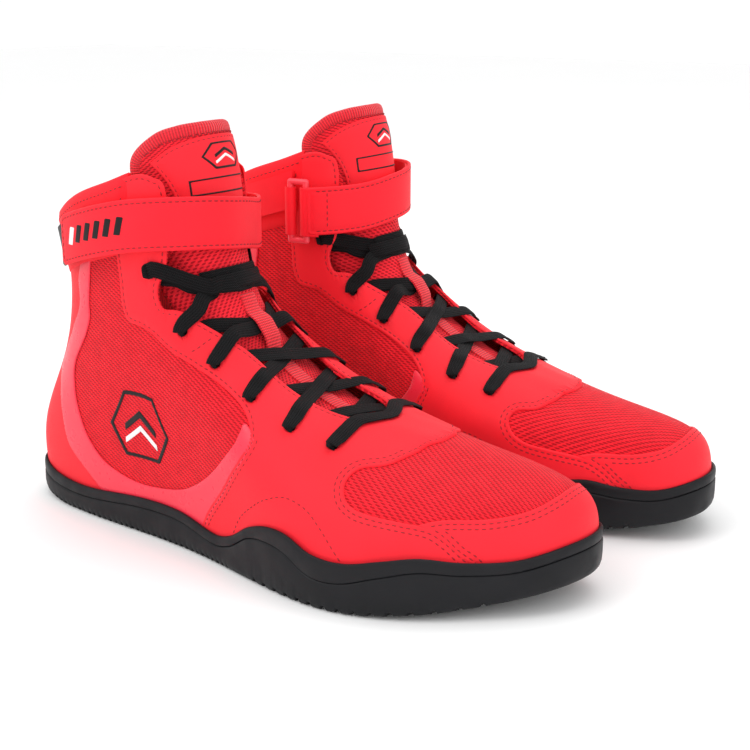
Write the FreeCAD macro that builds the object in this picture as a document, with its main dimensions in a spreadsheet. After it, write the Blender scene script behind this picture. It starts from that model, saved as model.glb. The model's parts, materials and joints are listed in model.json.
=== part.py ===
import FreeCAD, Part
import math
import os
from FreeCAD import Placement, Rotation, Vector

# A pair of mid-height boxing boots, in millimetres.
# Each boot is drawn as a right boot: +X from heel to toe, +Y to the inner (medial) side, +Z up,
# with z = 0 under the flat of the sole.  The left boot is its mirror image, set beside it.

doc = FreeCAD.newDocument("boxing_boots")

# ---------------------------------------------------------------- driving dimensions
DIMENSIONS = [
    ("sole_block", 40.0),        # height of the block that the rubber sole is cut from
    ("band_span", 180.0),        # sideways reach of the side-view bands, wider than the boot
    ("sole_wall", 2.0),          # rubber wall round the foot
    ("sole_floor", 7.0),         # rubber under the foot
    ("tread_gap", 0.0),          # lowest point of the tread
    ("toe_spring", 13.0),        # lift of the toe end of the sole
    ("board_thick", 1.6),        # lasting board
    ("footbed_thick", 4.0),      # foam footbed
    ("base_skin", 1.2),          # mesh with its backing
    ("overlay_skin", 0.9),       # microfibre overlays
    ("skin_gap", 0.15),          # room between sewn layers
    ("tongue_thick", 4.5),       # padded tongue
    ("strap_width", 24.0),
    ("strap_thick", 1.8),
    ("strap_wall", 0.8),         # sewn under-layer of the strap
    ("hook_thick", 0.8),
    ("ring_bar", 3.2),           # diameter of the ring's bars
    ("ring_gap", 9.0),           # distance between the axes of the ring's two bars
    ("ring_play", 0.3),
    ("knuckle_wall", 1.2),       # strap end folded round the ring
    ("loop_wall", 1.0),          # tab folded round the ring
    ("ring_room", 2.4),          # how much taller the ring is inside than the strap is wide
    ("collar_pad", 1.2),         # extra thickness of the padded collar
    ("lining_gap", 0.25),        # room between the upper and its inner layers
    ("lining_thick", 2.15),      # padded ankle lining
    ("puff_thick", 0.85),        # toe stiffener
    ("counter_thick", 1.25),     # heel stiffener
    ("strap_seat", 2.4),         # height of the strap's anchors above the upper
    ("tab_thick", 2.0),          # padded tab that holds the ring
    ("band_thick", 0.8),         # loop band round the heel
    ("lace_width", 7.2),
    ("lace_pinch", 3.0),         # width of the lace inside an eyelet
    ("lace_thick", 1.1),
    ("eyelet_hole", 4.6),
    ("boot_pitch", 103.9),       # sideways distance between the two heels
    ("boot_lead", 11.7),         # how far the left heel stands ahead of the right one
    ("toe_out", 5.4),            # angle of the left boot to the right one
]
sheet = doc.addObject("Spreadsheet::Sheet", "sizes")
for line, (alias, value) in enumerate(DIMENSIONS, 1):
    sheet.set("A%d" % line, alias)
    sheet.set("B%d" % line, str(value))
    sheet.setAlias("B%d" % line, alias)
doc.recompute()


def size(alias):
    return float(getattr(sheet, alias))


# ---------------------------------------------------------------- shape of the foot
# Profile lines from the sole edge (row 0) up to the topline or the lacing edge (row 4),
# at 13 stations from the back of the heel (0) round the outer side to the toe (12).
# Each entry is (x, half width, z); the inner side repeats them from 23 back to 13.
LAST = [
    [(0.5, 0, 8), (0, 0, 40), (16, 0, 76), (25, 0, 112), (20, 0, 144)],
    [(7, 16, 8), (7, 16.5, 40), (22, 15, 76), (30, 14, 112), (27, 17, 147)],
    [(34, 25.5, 8), (33, 26.5, 41), (40, 26, 80), (45, 26, 118), (49, 28, 158)],
    [(66, 29, 8), (64, 30.5, 43), (67, 31.5, 84), (71, 32, 126), (76, 33, 167)],
    [(94, 30, 8), (91, 31.5, 42), (90, 33.5, 84), (94, 33, 128), (98, 31, 172)],
    [(121, 32.5, 8), (117, 34, 38), (110, 35, 74), (106, 32, 112), (108, 24, 152)],
    [(149, 38, 8), (146, 39, 33), (137, 40, 62), (126, 33, 92), (117, 19, 119)],
    [(180, 45.5, 8), (177, 46, 30), (168, 46, 52), (154, 35, 76), (138, 18, 98)],
    [(212, 49.5, 9), (210, 49.5, 29), (201, 46, 47), (183, 34, 65), (160, 18, 81)],
    [(243, 44.5, 11), (241, 44, 30), (230, 39, 46), (208, 28, 60), (182, 17, 72)],
    [(269, 33, 14), (267, 32.5, 32), (256, 28, 47), (230, 20, 57), (192, 13, 69)],
    [(289, 19, 18), (288.5, 19, 35), (278, 15.5, 48), (247, 10, 57), (197, 7, 68)],
    [(296.5, 0, 20), (296, 0, 36), (285.5, 0, 49.5), (251, 0, 57.5), (199, 0, 67.5)],
]
SWING = [(0, 2), (60, 1), (120, -3), (180, -5.5), (225, -4), (260, 4), (298, 15)]   # sole centre
RIDGE = [(0, 0), (110, 0), (160, 2), (200, 6), (250, 13), (298, 16)]                # instep centre
RIDGE_SHARE = (0, 0.15, 0.6, 1, 1)      # how far each row follows the ridge instead of the sole
TOE = 12
TURN = 24                                # stations all the way round


def along(table, x):
    """Smooth curve through a table of (x, value)."""
    first = (2 * table[0][0] - table[1][0], table[0][1])
    last = (2 * table[-1][0] - table[-2][0], 2 * table[-1][1] - table[-2][1])
    points = [first] + table + [last]
    k = 1
    while k < len(points) - 3 and x > points[k + 1][0]:
        k += 1
    (xa, ya), (xb, yb), (xc, yc), (xd, yd) = points[k - 1:k + 3]
    t = min(max((x - xb) / (xc - xb), 0), 1.2)
    slope_b = (yc - ya) / (xc - xa) * (xc - xb)
    slope_c = (yd - yb) / (xd - xb) * (xc - xb)
    return ((2 * t - 3) * t * t + 1) * yb + (t - 2) * t * t * slope_b + t * slope_b \
        + (3 - 2 * t) * t * t * yc + (t - 1) * t * t * slope_c


def blend(t):
    """Weights of a uniform cubic B-spline."""
    return ((1 - t) ** 3 / 6, (3 * t ** 3 - 6 * t * t + 4) / 6,
            (-3 * t ** 3 + 3 * t * t + 3 * t + 1) / 6, t ** 3 / 6)


class Net:
    """Smooth surface through a grid of points; u runs along the rows, v along each row."""

    def __init__(self, points, closed):
        self.closed = closed
        self.poles = [[Vector(p) for p in row] for row in points]
        for sweep in range(24):
            miss = [[points[i][j] - self.at(i, j) for j in range(len(points[0]))]
                    for i in range(len(points))]
            for i, row in enumerate(self.poles):
                for j in range(len(row)):
                    row[j] = row[j] + miss[i][j]

    def pole(self, i, j):
        rows, cols = len(self.poles), len(self.poles[0])
        if self.closed:
            i = i % rows
        elif i < 0:
            return self.pole(0, j) * 2 - self.pole(1, j)
        elif i >= rows:
            return self.pole(rows - 1, j) * 2 - self.pole(rows - 2, j)
        if j < 0:
            return self.poles[i][0] * 2 - self.poles[i][1]
        if j >= cols:
            return self.poles[i][cols - 1] * 2 - self.poles[i][cols - 2]
        return self.poles[i][j]

    def at(self, u, v):
        rows, cols = len(self.poles), len(self.poles[0])
        i = math.floor(u) if self.closed else min(max(math.floor(u), 0), rows - 2)
        j = min(max(math.floor(v), 0), cols - 2)
        across, up = blend(u - i), blend(v - j)
        point = Vector()
        for a in range(4):
            for b in range(4):
                point = point + self.pole(i - 1 + a, j - 1 + b) * (across[a] * up[b])
        return point

    def normal(self, u, v):
        step = 0.01
        return (self.at(u + step, v) - self.at(u - step, v)).cross(
            self.at(u, v + step) - self.at(u, v - step)).normalize()

    def off(self, u, v, distance):
        return self.at(u, v) + self.normal(u, v) * distance


def last_points():
    rows = []
    for station in range(TURN):
        side = -1 if station <= TOE else 1
        row = []
        for level, (x, half, z) in enumerate(LAST[min(station, TURN - station)]):
            share = RIDGE_SHARE[level]
            centre = (1 - share) * along(SWING, x) + share * along(RIDGE, x)
            row.append(Vector(x, side * half + centre, z))
        rows.append(row)
    return rows


upper = Net(last_points(), closed=True)

# Tongue: (x, z) of its front line, half width and how far its edges lie behind that line.
TONGUE = [
    (206, 60.5, 18, 3), (184, 66.5, 21, 3.5), (161.5, 76.5, 23, 4.5), (142, 90.5, 25, 8), (129, 109.5, 25, 20),
    (121.8, 134, 26.5, 33), (118.5, 160, 27.5, 33), (114.5, 182, 28.5, 32), (109, 197, 28.5, 30),
]
TONGUE_WRAP = math.radians(80)


def tongue_points():
    rows = []
    for k, (x, z, half, depth) in enumerate(TONGUE):
        before, after = TONGUE[max(k - 1, 0)], TONGUE[min(k + 1, len(TONGUE) - 1)]
        run = Vector(after[0] - before[0], 0, after[1] - before[1]).normalize()
        front = Vector(run.z, 0, -run.x)
        row = []
        for step in range(4, -5, -1):
            turn = step / 4 * TONGUE_WRAP
            back = depth * (1 - math.cos(turn)) / (1 - math.cos(TONGUE_WRAP))
            side = half * math.sin(turn) / math.sin(TONGUE_WRAP)
            centre = along(RIDGE, x)
            row.append(Vector(x, centre + side, z) - front * back)
        rows.append(row)
    return rows


tongue = Net(tongue_points(), closed=False)


# ---------------------------------------------------------------- building helpers
def ratio(a, b, t):
    return a + (b - a) * t


def skin(net, corners, low, high, steps=(9, 7)):
    """Solid between two offsets of a net, over the patch whose (u, v) is corners(s, t)."""
    def face(distance):
        grid = [[net.off(*corners(i / (steps[0] - 1), j / (steps[1] - 1)), distance)
                 for j in range(steps[1])] for i in range(steps[0])]
        surface = Part.BSplineSurface()
        surface.interpolate(grid)
        return surface
    lower, upper_face = face(low), face(high)
    faces = [lower.toShape(), upper_face.toShape()]
    for get in (lambda surf: surf.uIso(surf.bounds()[0]), lambda surf: surf.uIso(surf.bounds()[1]),
                lambda surf: surf.vIso(surf.bounds()[2]), lambda surf: surf.vIso(surf.bounds()[3])):
        faces.append(Part.makeRuledSurface(get(lower).toShape(), get(upper_face).toShape(), 1))
    sewn = Part.makeCompound(faces)
    sewn.sewShape(0.01)
    solid = Part.makeSolid(sewn.Shells[0])
    if solid.Volume < 0:
        solid.reverse()
    return solid


def feature(label, shape):
    item = doc.addObject("Part::Feature", label)
    item.Label = label
    item.Shape = shape
    return item


def plane(body, role):
    return [item for item in body.Origin.OriginFeatures if item.Role == role][0]


def closed_curve(points):
    curve = Part.BSplineCurve()
    curve.interpolate(Points=points, PeriodicFlag=True)
    return curve


def open_curve(points):
    curve = Part.BSplineCurve()
    curve.interpolate(Points=points)
    return curve


def outline(offset):
    """Plan of the upper's lower edge, moved outwards; z is dropped."""
    points = []
    for station in range(TURN):
        ahead, behind = upper.at(station + 0.1, 0), upper.at(station - 0.1, 0)
        run = Vector(ahead.x - behind.x, ahead.y - behind.y, 0).normalize()
        here = upper.at(station, 0)
        points.append(Vector(here.x + run.y * offset, here.y - run.x * offset, 0))
    return points


def prism(name, offset):
    """Body: the foot's plan, padded up through the height of the sole."""
    body = doc.addObject("PartDesign::Body", name)
    sketch = body.newObject("Sketcher::SketchObject", name + "_plan")
    sketch.AttachmentSupport = [(plane(body, "XY_Plane"), "")]
    sketch.MapMode = "FlatFace"
    sketch.addGeometry(closed_curve(outline(offset)), False)
    pad = body.newObject("PartDesign::Pad", name + "_pad")
    pad.Profile = sketch
    pad.setExpression("Length", "sizes.sole_block")
    return body


def side_band(name, low, high):
    """Body: the band between two curves of the side view, padded across the boot."""
    body = doc.addObject("PartDesign::Body", name)
    sketch = body.newObject("Sketcher::SketchObject", name + "_side")
    sketch.AttachmentSupport = [(plane(body, "XZ_Plane"), "")]
    sketch.MapMode = "FlatFace"
    flat_low = [Vector(x, z, 0) for x, z in low]
    flat_high = [Vector(x, z, 0) for x, z in high]
    sketch.addGeometry(open_curve(flat_low), False)
    sketch.addGeometry(open_curve(flat_high), False)
    sketch.addGeometry(Part.LineSegment(flat_low[0], flat_high[0]), False)
    sketch.addGeometry(Part.LineSegment(flat_low[-1], flat_high[-1]), False)
    pad = body.newObject("PartDesign::Pad", name + "_pad")
    pad.Profile = sketch
    pad.Midplane = True
    pad.setExpression("Length", "sizes.band_span")
    return body


def combine(kind, name, base, tool):
    item = doc.addObject("Part::" + kind, name)
    item.Base = base
    item.Tool = tool
    return item


BALL = 205                  # x where the sole starts to curve up towards the toe
TOE_RUN = 95                # length of that curve
HEEL_BEVEL = (30, 3)        # length and height of the bevel under the heel


def toe_lift(x):
    return size("toe_spring") * (max(0, x - BALL) / TOE_RUN) ** 2


def sole_lift(x):
    """Height of the tread: flat, lifted at the toe and bevelled at the heel."""
    length, height = HEEL_BEVEL
    return size("tread_gap") + toe_lift(x) + height * (max(0, length - x) / length) ** 2


def floor_line(height):
    """Side-view line of the inside of the sole, level at the heel and lifted at the toe."""
    return [(x, size("sole_floor") + height + toe_lift(x))
            for x in (-15, 50, 120, 190, 215, 240, 265, 290, 315)]


# ---------------------------------------------------------------- sole, board and footbed
RIM = [(-15, 23), (0, 19.5), (20, 15.5), (45, 14.5), (85, 18), (112, 18), (138, 14), (150, 17),
       (163, 25), (176, 29), (188, 29), (202, 24), (218, 23), (234, 26), (248, 28), (263, 26),
       (280, 26), (298, 31), (315, 34)]


def make_sole():
    fit = 0.4
    wall_out = size("skin_gap") * 2 + size("overlay_skin") + fit
    tread = [(x, sole_lift(x)) for x in (-15, 0, 15, 30)] + [(40, size("tread_gap"))]
    tread += [(x, size("tread_gap")) for x in (80, 130, 175)]
    tread += [(x, sole_lift(x)) for x in (205, 225, 245, 265, 285, 300, 315)]
    block = prism("sole_plan", wall_out + size("sole_wall"))
    hollow = prism("foot_plan", wall_out)
    rubber = combine("Common", "sole_shape", block, side_band("sole_side", tread, RIM))
    room = combine("Common", "foot_room", hollow,
                   side_band("foot_side", floor_line(0), floor_line(60)))
    sole = combine("Cut", "outsole", rubber, room)
    inset = -size("base_skin") - fit
    board_low = 1.0
    board_top = board_low + size("board_thick")
    board = combine("Common", "insole_board", prism("board_plan", inset),
                    side_band("board_side", floor_line(board_low), floor_line(board_top)))
    bed_low = board_top + 0.1
    footbed = combine("Common", "footbed", prism("footbed_plan", inset - 0.6),
                      side_band("footbed_side", floor_line(bed_low),
                                floor_line(bed_low + size("footbed_thick"))))
    return [sole, board, footbed]


# ---------------------------------------------------------------- upper
def patch(u_low, u_high, v_low, v_high):
    """Corner map of a panel; each limit is a number or a function of the other share."""
    def value(limit, share):
        return limit(share) if callable(limit) else limit

    def corners(s, t):
        u = ratio(value(u_low, t), value(u_high, t), s)
        v = ratio(value(v_low, s), value(v_high, s), t)
        return u, v
    return corners


def mirrored(corners):
    """The same panel on the inner side."""
    def other(s, t):
        u, v = corners(1 - s, t)
        return TURN - u, v
    return other


EYELETS = [(8.38, 2.95), (7.69, 3.0), (7.02, 3.1), (6.32, 3.15), (5.52, 3.05), (4.15, 3.05)]

EYESTAY = patch(lambda t: 5.2 - 0.1 * t + 1.7 * math.sin(math.pi * t), lambda t: 8.3 + 3.6 * t ** 3.2,
                lambda s: ratio(0.4, 0.75, s), 3.98)
TPU = patch(lambda t: ratio(4.9, 0.75, t), lambda t: ratio(5.1, 1.75, t ** 0.8), 0.4, 3.0)
TOE_CAP = patch(8.45, TURN - 8.45, 0.02, lambda s: 1.6 + 0.4 * math.sin(math.pi * s))
HEEL_COVER = patch(-0.7, 0.7, 0.02, 3.05)
COLLAR = patch(-3.45, 3.45, 3.12, 3.98)


def eyelet_cutters(side):
    """Round pins that stand through the upper at each eyelet."""
    inside, length = 4, 9
    pins = []
    for station, level in EYELETS:
        u = station if side < 0 else TURN - station
        start = upper.off(u, level, -inside)
        pins.append(Part.makeCylinder(size("eyelet_hole") / 2, length, start, upper.normal(u, level)))
    return pins


def make_upper():
    base = size("base_skin")
    low = size("skin_gap")
    high = low + size("overlay_skin")
    inner = -base - size("lining_gap")
    lining, puff, counter = (inner - size(layer) for layer in ("lining_thick", "puff_thick", "counter_thick"))
    quarter = patch(1.52, 7.98, 0.02, 4)
    parts = {
        "vamp_mesh": skin(upper, patch(8.02, TURN - 8.02, 0.02, 4), -base, 0, (33, 17)),
        "quarter_lateral": skin(upper, quarter, -base, 0, (27, 17)),
        "quarter_medial": skin(upper, mirrored(quarter), -base, 0, (27, 17)),
        "heel_panel": skin(upper, patch(-1.48, 1.48, 0.02, 4), -base, 0, (13, 17)),
        "eyestay_lateral": skin(upper, EYESTAY, low, high, (21, 17)),
        "eyestay_medial": skin(upper, mirrored(EYESTAY), low, high, (21, 17)),
        "toe_cap": skin(upper, TOE_CAP, low, high, (29, 9)),
        "heel_cover": skin(upper, HEEL_COVER, low, high, (7, 15)),
        "tpu_strip_lateral": skin(upper, TPU, low, high, (5, 17)),
        "tpu_strip_medial": skin(upper, mirrored(TPU), low, high, (5, 17)),
        "collar": skin(upper, COLLAR, low, high + size("collar_pad"), (41, 9)),
        "ankle_lining": skin(upper, patch(-3.3, 3.3, 1.35, 3.95), lining, inner, (27, 13)),
        "toe_puff": skin(upper, patch(9.6, TURN - 9.6, 0.9, 1.9), puff, inner, (19, 7)),
        "heel_counter": skin(upper, patch(-2.2, 2.2, 0.45, 1.2), counter, inner, (19, 7)),
    }
    for side, name in ((-1, "lateral"), (1, "medial")):
        pins = eyelet_cutters(side)
        for piece in ("quarter_" + name, "eyestay_" + name, "vamp_mesh"):
            parts[piece] = parts[piece].cut(pins)
    return parts


# ---------------------------------------------------------------- tongue
TONGUE_SPLIT = 6.1          # row of the flex line, just above the strap
TONGUE_TOP = 7.66


def tongue_edge(t):
    """Row where the tongue ends, rounded off towards its two sides."""
    side = abs(2 * t - 1)
    return TONGUE_TOP + 0.25 * side ** 2 - side ** 5


def make_tongue():
    pad = size("tongue_thick")
    flat = size("overlay_skin")
    gap = size("skin_gap")
    lower = patch(0.15, TONGUE_SPLIT - 0.02, 0.1, 7.9)
    top = patch(TONGUE_SPLIT + 0.02, tongue_edge, 0.1, 7.9)
    binding = patch(lambda t: tongue_edge(t) + 0.05, lambda t: tongue_edge(t) + 0.34, 0.1, 7.9)
    badge = patch(TONGUE_SPLIT + 0.2, 7.1, 2.4, 5.6)
    keeper = patch(0.9, 4.3, 3.4, 4.6)
    return {
        "tongue_lower": skin(tongue, lower, -pad, 0, (23, 17)),
        "tongue_top": skin(tongue, top, -pad, 0, (9, 17)),
        "tongue_binding": skin(tongue, binding, -pad - 0.3, 0.5, (4, 17)),
        "tongue_patch": skin(tongue, badge, gap, gap + flat, (7, 7)),
        "lace_keeper": skin(tongue, keeper, gap, gap + flat, (11, 4)),
    }


# ---------------------------------------------------------------- ankle strap and ring
# Middle of the strap's outer layer, from the ring on the inner side round the front, where it
# climbs, to its free end, which falls towards the heel.
STRAP_PATH = [(93, 42, 143.4), (102, 38.6, 144), (110.2, 31.2, 144.5), (117.2, 20.5, 145.4), (122.4, 8, 147.7),
              (124.2, -5.5, 149.6), (121, -18, 150.9), (113.2, -28.3, 151.2), (102, -35.2, 150.7),
              (88.5, -38.9, 149.2), (75, -39.6, 146.5), (62, -38.2, 143.2), (50, -35, 139.7), (38.5, -30.4, 136)]
STRAP_FOLD = 7              # station of the front corner, where the free end peels away
RING_HINGE = (83.0, 39.4)   # axis of the bar held by the tab
RING_FRONT = RING_HINGE[0] + size("ring_gap")       # x of the bar that the strap folds round
RING_HEIGHT = 143.0         # height of the ring's middle


def strap_points():
    half = size("strap_width") / 2
    return [[Vector(x, y, z + half * level) for level in (1, 0, -1)] for x, y, z in STRAP_PATH]


strap = Net(strap_points(), closed=False)


def bar(x, y, z, height, radius):
    return Part.makeCylinder(radius, height, Vector(x, y, z))


def tube(x, y, z, height, inner, outer):
    return bar(x, y, z, height, outer).cut(bar(x, y, z, height, inner))


def make_strap():
    half = size("strap_thick") / 2
    wall = size("strap_wall")
    play = size("ring_play")
    radius = size("ring_bar") / 2
    end = len(STRAP_PATH) - 1
    width = size("strap_width")
    low = RING_HEIGHT - width / 2
    seat = size("strap_seat")
    y = RING_HINGE[1]
    knuckle = tube(RING_FRONT, y, low, width, radius + play, radius + play + size("knuckle_wall"))
    front = skin(strap, patch(0.12, STRAP_FOLD - 0.02, 0, 2), -half, half, (15, 3)).fuse(knuckle)
    back_low = -half - play - wall
    tab = skin(upper, patch(TURN - 3.3, TURN - 2.2, 3.36, 3.84), seat, seat + size("tab_thick"), (7, 4))
    loop = tube(RING_HINGE[0], y, low, width, radius + play, radius + play + size("loop_wall"))
    band = skin(upper, patch(-1.2, 3.3, lambda s: 3.3 - 0.12 * s * s, lambda s: 3.87 - 0.2 * s * s),
                seat, seat + size("band_thick"), (11, 4))
    return {
        "strap_front": front,
        "strap_end": skin(strap, patch(STRAP_FOLD + 0.02, end, 0, 2), -half, half, (13, 3)),
        "strap_base": skin(strap, patch(0.75, 10.6, 0.08, 1.92), back_low, back_low + wall, (19, 3)),
        "hook_patch": skin(strap, patch(10.9, end - 0.15, 0.12, 1.88), -half - 0.1 - size("hook_thick"),
                           -half - 0.1, (6, 3)),
        "ring_tab": tab.fuse(loop),
        "loop_band": band,
    }


def make_ring():
    """Rectangular wire loop: two upright bars, two cross bars and round corners."""
    radius = size("ring_bar") / 2
    tall = size("strap_width") + 2 * radius + size("ring_room")
    low = RING_HEIGHT - tall / 2
    y = RING_HINGE[1]
    pieces = []
    for x in (RING_HINGE[0], RING_FRONT):
        pieces.append(bar(x, y, low, tall, radius))
        for z in (low, low + tall):
            pieces.append(Part.makeSphere(radius, Vector(x, y, z)))
    for z in (low, low + tall):
        pieces.append(Part.makeCylinder(radius, RING_FRONT - RING_HINGE[0],
                                        Vector(RING_HINGE[0], y, z), Vector(1, 0, 0)))
    return {"ring": pieces[0].fuse(pieces[1:])}


# ---------------------------------------------------------------- lace
def nearest(net, point, u, v):
    """Shares (u, v) of the point of a net nearest to a point, from a first guess."""
    step = 0.01
    for _ in range(12):
        miss = point - net.at(u, v)
        along_u = (net.at(u + step, v) - net.at(u - step, v)) * (0.5 / step)
        along_v = (net.at(u, v + step) - net.at(u, v - step)) * (0.5 / step)
        u += min(max(miss.dot(along_u) / along_u.dot(along_u), -0.4), 0.4)
        v += min(max(miss.dot(along_v) / along_v.dot(along_v), -0.4), 0.4)
    return u, v


def ribbon(stops):
    """Flat closed strip through (centre, facing, width); facing is the side it shows."""
    thick = size("lace_thick") / 2
    rings = []
    last_side = None
    for k, (centre, facing, width) in enumerate(stops):
        ahead = stops[min(k + 1, len(stops) - 1)][0]
        behind = stops[max(k - 1, 0)][0]
        run = (ahead - behind).normalize()
        side = run.cross(facing).normalize()
        if last_side is not None and side.dot(last_side) < 0:
            side = side * -1
        last_side = side
        up = side.cross(run).normalize()
        rings.append([centre + side * (width / 2 * a) + up * (thick * b)
                      for a, b in ((-1, -1), (1, -1), (1, 1), (-1, 1))])
    faces = []

    def triangle(a, b, c):
        faces.append(Part.Face(Part.makePolygon([a, b, c, a])))
    for first, second in zip(rings, rings[1:]):
        for i in range(4):
            j = (i + 1) % 4
            triangle(first[i], first[j], second[j])
            triangle(first[i], second[j], second[i])
    for cap in (rings[0], rings[-1]):
        triangle(cap[0], cap[1], cap[2])
        triangle(cap[0], cap[2], cap[3])
    shell = Part.makeShell(faces)
    shell.sewShape()
    solid = Part.makeSolid(shell)
    if solid.Volume < 0:
        solid.reverse()
    return solid


def station_on(side, index):
    station, level = EYELETS[index]
    return (station if side < 0 else TURN - station), level


def over_height():
    """How far the lace's middle rides outside the upper."""
    return size("skin_gap") + size("overlay_skin") + size("lace_thick") / 2 + 0.5


def under_height():
    """How far the lace's middle lies inside the upper."""
    return -size("base_skin") - size("lace_thick") / 2 - 0.5


def on_upper(point, side, index, height):
    """Place on the upper nearest to a point, moved out by a height, with its facing and row."""
    u, v = nearest(upper, point, *station_on(side, index))
    return upper.off(u, v, height), upper.normal(u, v), v


def on_tongue(u, v, height):
    return tongue.off(u, v, height), tongue.normal(u, v), size("lace_width")


def through(side, index):
    """Stops up through an eyelet, from under the upper to outside it."""
    u, v = station_on(side, index)
    toward = (upper.at(*station_on(-side, index)) - upper.at(u, v)).normalize()
    heights = (under_height() + 0.9, over_height() - 0.9)
    return [(upper.off(u, v, height), toward, size("lace_pinch")) for height in heights]


def cross_run(side, index, lift):
    """Stops from one eyelet across the tongue to under the opposite edge's next eyelet."""
    wide = size("lace_width")
    first = index == 0
    a, b = upper.at(*station_on(side, index)), upper.at(*station_on(-side, index + 1))
    stops = []
    for share in (0.08, 0.18, 0.28):
        height = under_height() if first else over_height()
        point, facing, level = on_upper(a + (b - a) * share, side, index, height)
        if first or level < 4.05:
            stops.append((point, facing, wide * (0.75 if share < 0.1 else 1)))
    rise = lift + (0 if index > 2 else 1.2 if first else 1.6)
    for share in (0.42, 0.5, 0.58):
        row, column = nearest(tongue, a + (b - a) * share, max(5.5 - index, 1), 4)
        stops.append(on_tongue(min(row, TAIL_ROW), column, rise))
    for share in (0.76, 0.86, 0.94):
        point, facing, level = on_upper(a + (b - a) * share, -side, index + 1, under_height())
        stops.append((point, facing, wide if share < 0.9 else size("lace_pinch") * 1.3))
    return stops


def bottom_bar():
    """Stops from the outer bottom eyelet over the foot of the tongue to the inner one."""
    (ua, va), (ub, vb) = station_on(-1, 0), station_on(1, 0)
    a, b = upper.at(ua, va), upper.at(ub, vb)
    stops = []
    for share in (0.06, 0.15, 0.27, 0.4, 0.5, 0.6, 0.73, 0.85, 0.94):
        chord = a + (b - a) * share + Vector(0, 0, 5 * math.sin(math.pi * share))
        guess = ratio(ua, TOE, min(share, 1 - share) * 2)
        u, v = nearest(upper, chord, guess if share <= 0.5 else TURN - guess, 3.5)
        v = min(v, 3.97)
        width = size("lace_width") * (0.75 if share in (0.06, 0.94) else 1)
        stops.append((upper.off(u, v, over_height()), upper.normal(u, v), width))
    return stops


TAIL_ROW = 4.7              # the ends cross the ankle here, just below the strap


def tail(side, lift):
    """From the top eyelet across the ankle, tucked in behind the opposite edge."""
    last = len(EYELETS) - 1
    a, b = upper.at(*station_on(side, last)), upper.at(*station_on(-side, last))
    stops = []
    for share in (0.06, 0.14):
        point, facing, level = on_upper(a + (b - a) * share, side, last, over_height())
        stops.append((point, facing, size("lace_width") * (0.75 if share < 0.1 else 1)))
    for share in (0.3, 0.42, 0.5, 0.58, 0.7):
        row, column = nearest(tongue, a + (b - a) * share + Vector(12, 0, 0), TAIL_ROW, 4)
        stops.append(on_tongue(TAIL_ROW - 0.06 * (1 - side), column, lift))
    return stops


def make_lace():
    """One flat lace: a bar over the bottom pair of eyelets and a criss-cross up to the ankle."""
    halves = []
    for side, lift in ((-1, 0.9), (1, 2.3)):
        stops, now = [], side
        for index in range(len(EYELETS) - 1):
            stops += cross_run(now, index, lift) + through(-now, index + 1)
            now = -now
        halves.append(stops + tail(now, lift + 0.2))
    stops = list(reversed(halves[0])) + through(-1, 0) + bottom_bar()
    stops += list(reversed(through(1, 0))) + halves[1]
    length = sum((b[0] - a[0]).Length for a, b in zip(stops, stops[1:]))
    print("lace length %.0f mm" % length)
    return ribbon(stops)


# ---------------------------------------------------------------- the pair
def build_right():
    """All sub-parts of the right boot, as document objects."""
    shapes = make_upper()
    shapes.update(make_tongue())
    shapes.update(make_strap())
    shapes.update(make_ring())
    shapes["lace"] = make_lace()
    return make_sole() + [feature(name, shape) for name, shape in shapes.items()]


def add_left(right):
    """Mirror image of a right sub-part."""
    twin = doc.addObject("Part::Mirroring", "left_" + right.Name)
    twin.Source = right
    twin.Normal = Vector(0, 1, 0)
    twin.Base = Vector(0, 0, 0)
    return twin


def check(items):
    for item in doc.Objects:
        if "Invalid" in item.State or "Error" in item.State:
            raise RuntimeError("failed object: " + item.Label)
    for item in items:
        if item.Shape.isNull() or not item.Shape.isValid():
            raise RuntimeError("bad shape: " + item.Label)


rights = build_right()
lefts = [add_left(item) for item in rights]
doc.recompute()
turn = Rotation(Vector(0, 0, 1), size("toe_out"))
beside = Vector(size("boot_lead"), size("boot_pitch"), 0)
for item in lefts:
    item.Placement = Placement(beside, turn)
doc.recompute()
pair = FreeCAD.BoundBox()
for item in rights + lefts:
    item.Shape.tessellate(0.05)
    pair.add(item.Shape.optimalBoundingBox(True, False))
centre = Vector(pair.Center.x, pair.Center.y, size("tread_gap"))
for item in rights:
    item.Placement = Placement(-centre, Rotation())
mirrored_shift = Placement(Vector(centre.x, -centre.y, centre.z), Rotation())
for item in lefts:
    item.Placement = Placement(beside - centre, turn) * mirrored_shift
doc.recompute()
for item, twin in zip(rights, lefts):
    name = item.Name
    item.Label = "right_" + name
    twin.Label = "left_" + name
check(rights + lefts)
os.makedirs("parts", exist_ok=True)
for item in rights + lefts:
    item.Shape.exportStep("parts/%s.step" % item.Label)
print("pair origin in the right boot's own frame:", centre)
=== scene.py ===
import json
import math

import bpy
import numpy as np
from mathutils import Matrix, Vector
from mathutils.geometry import delaunay_2d_cdt


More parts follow.
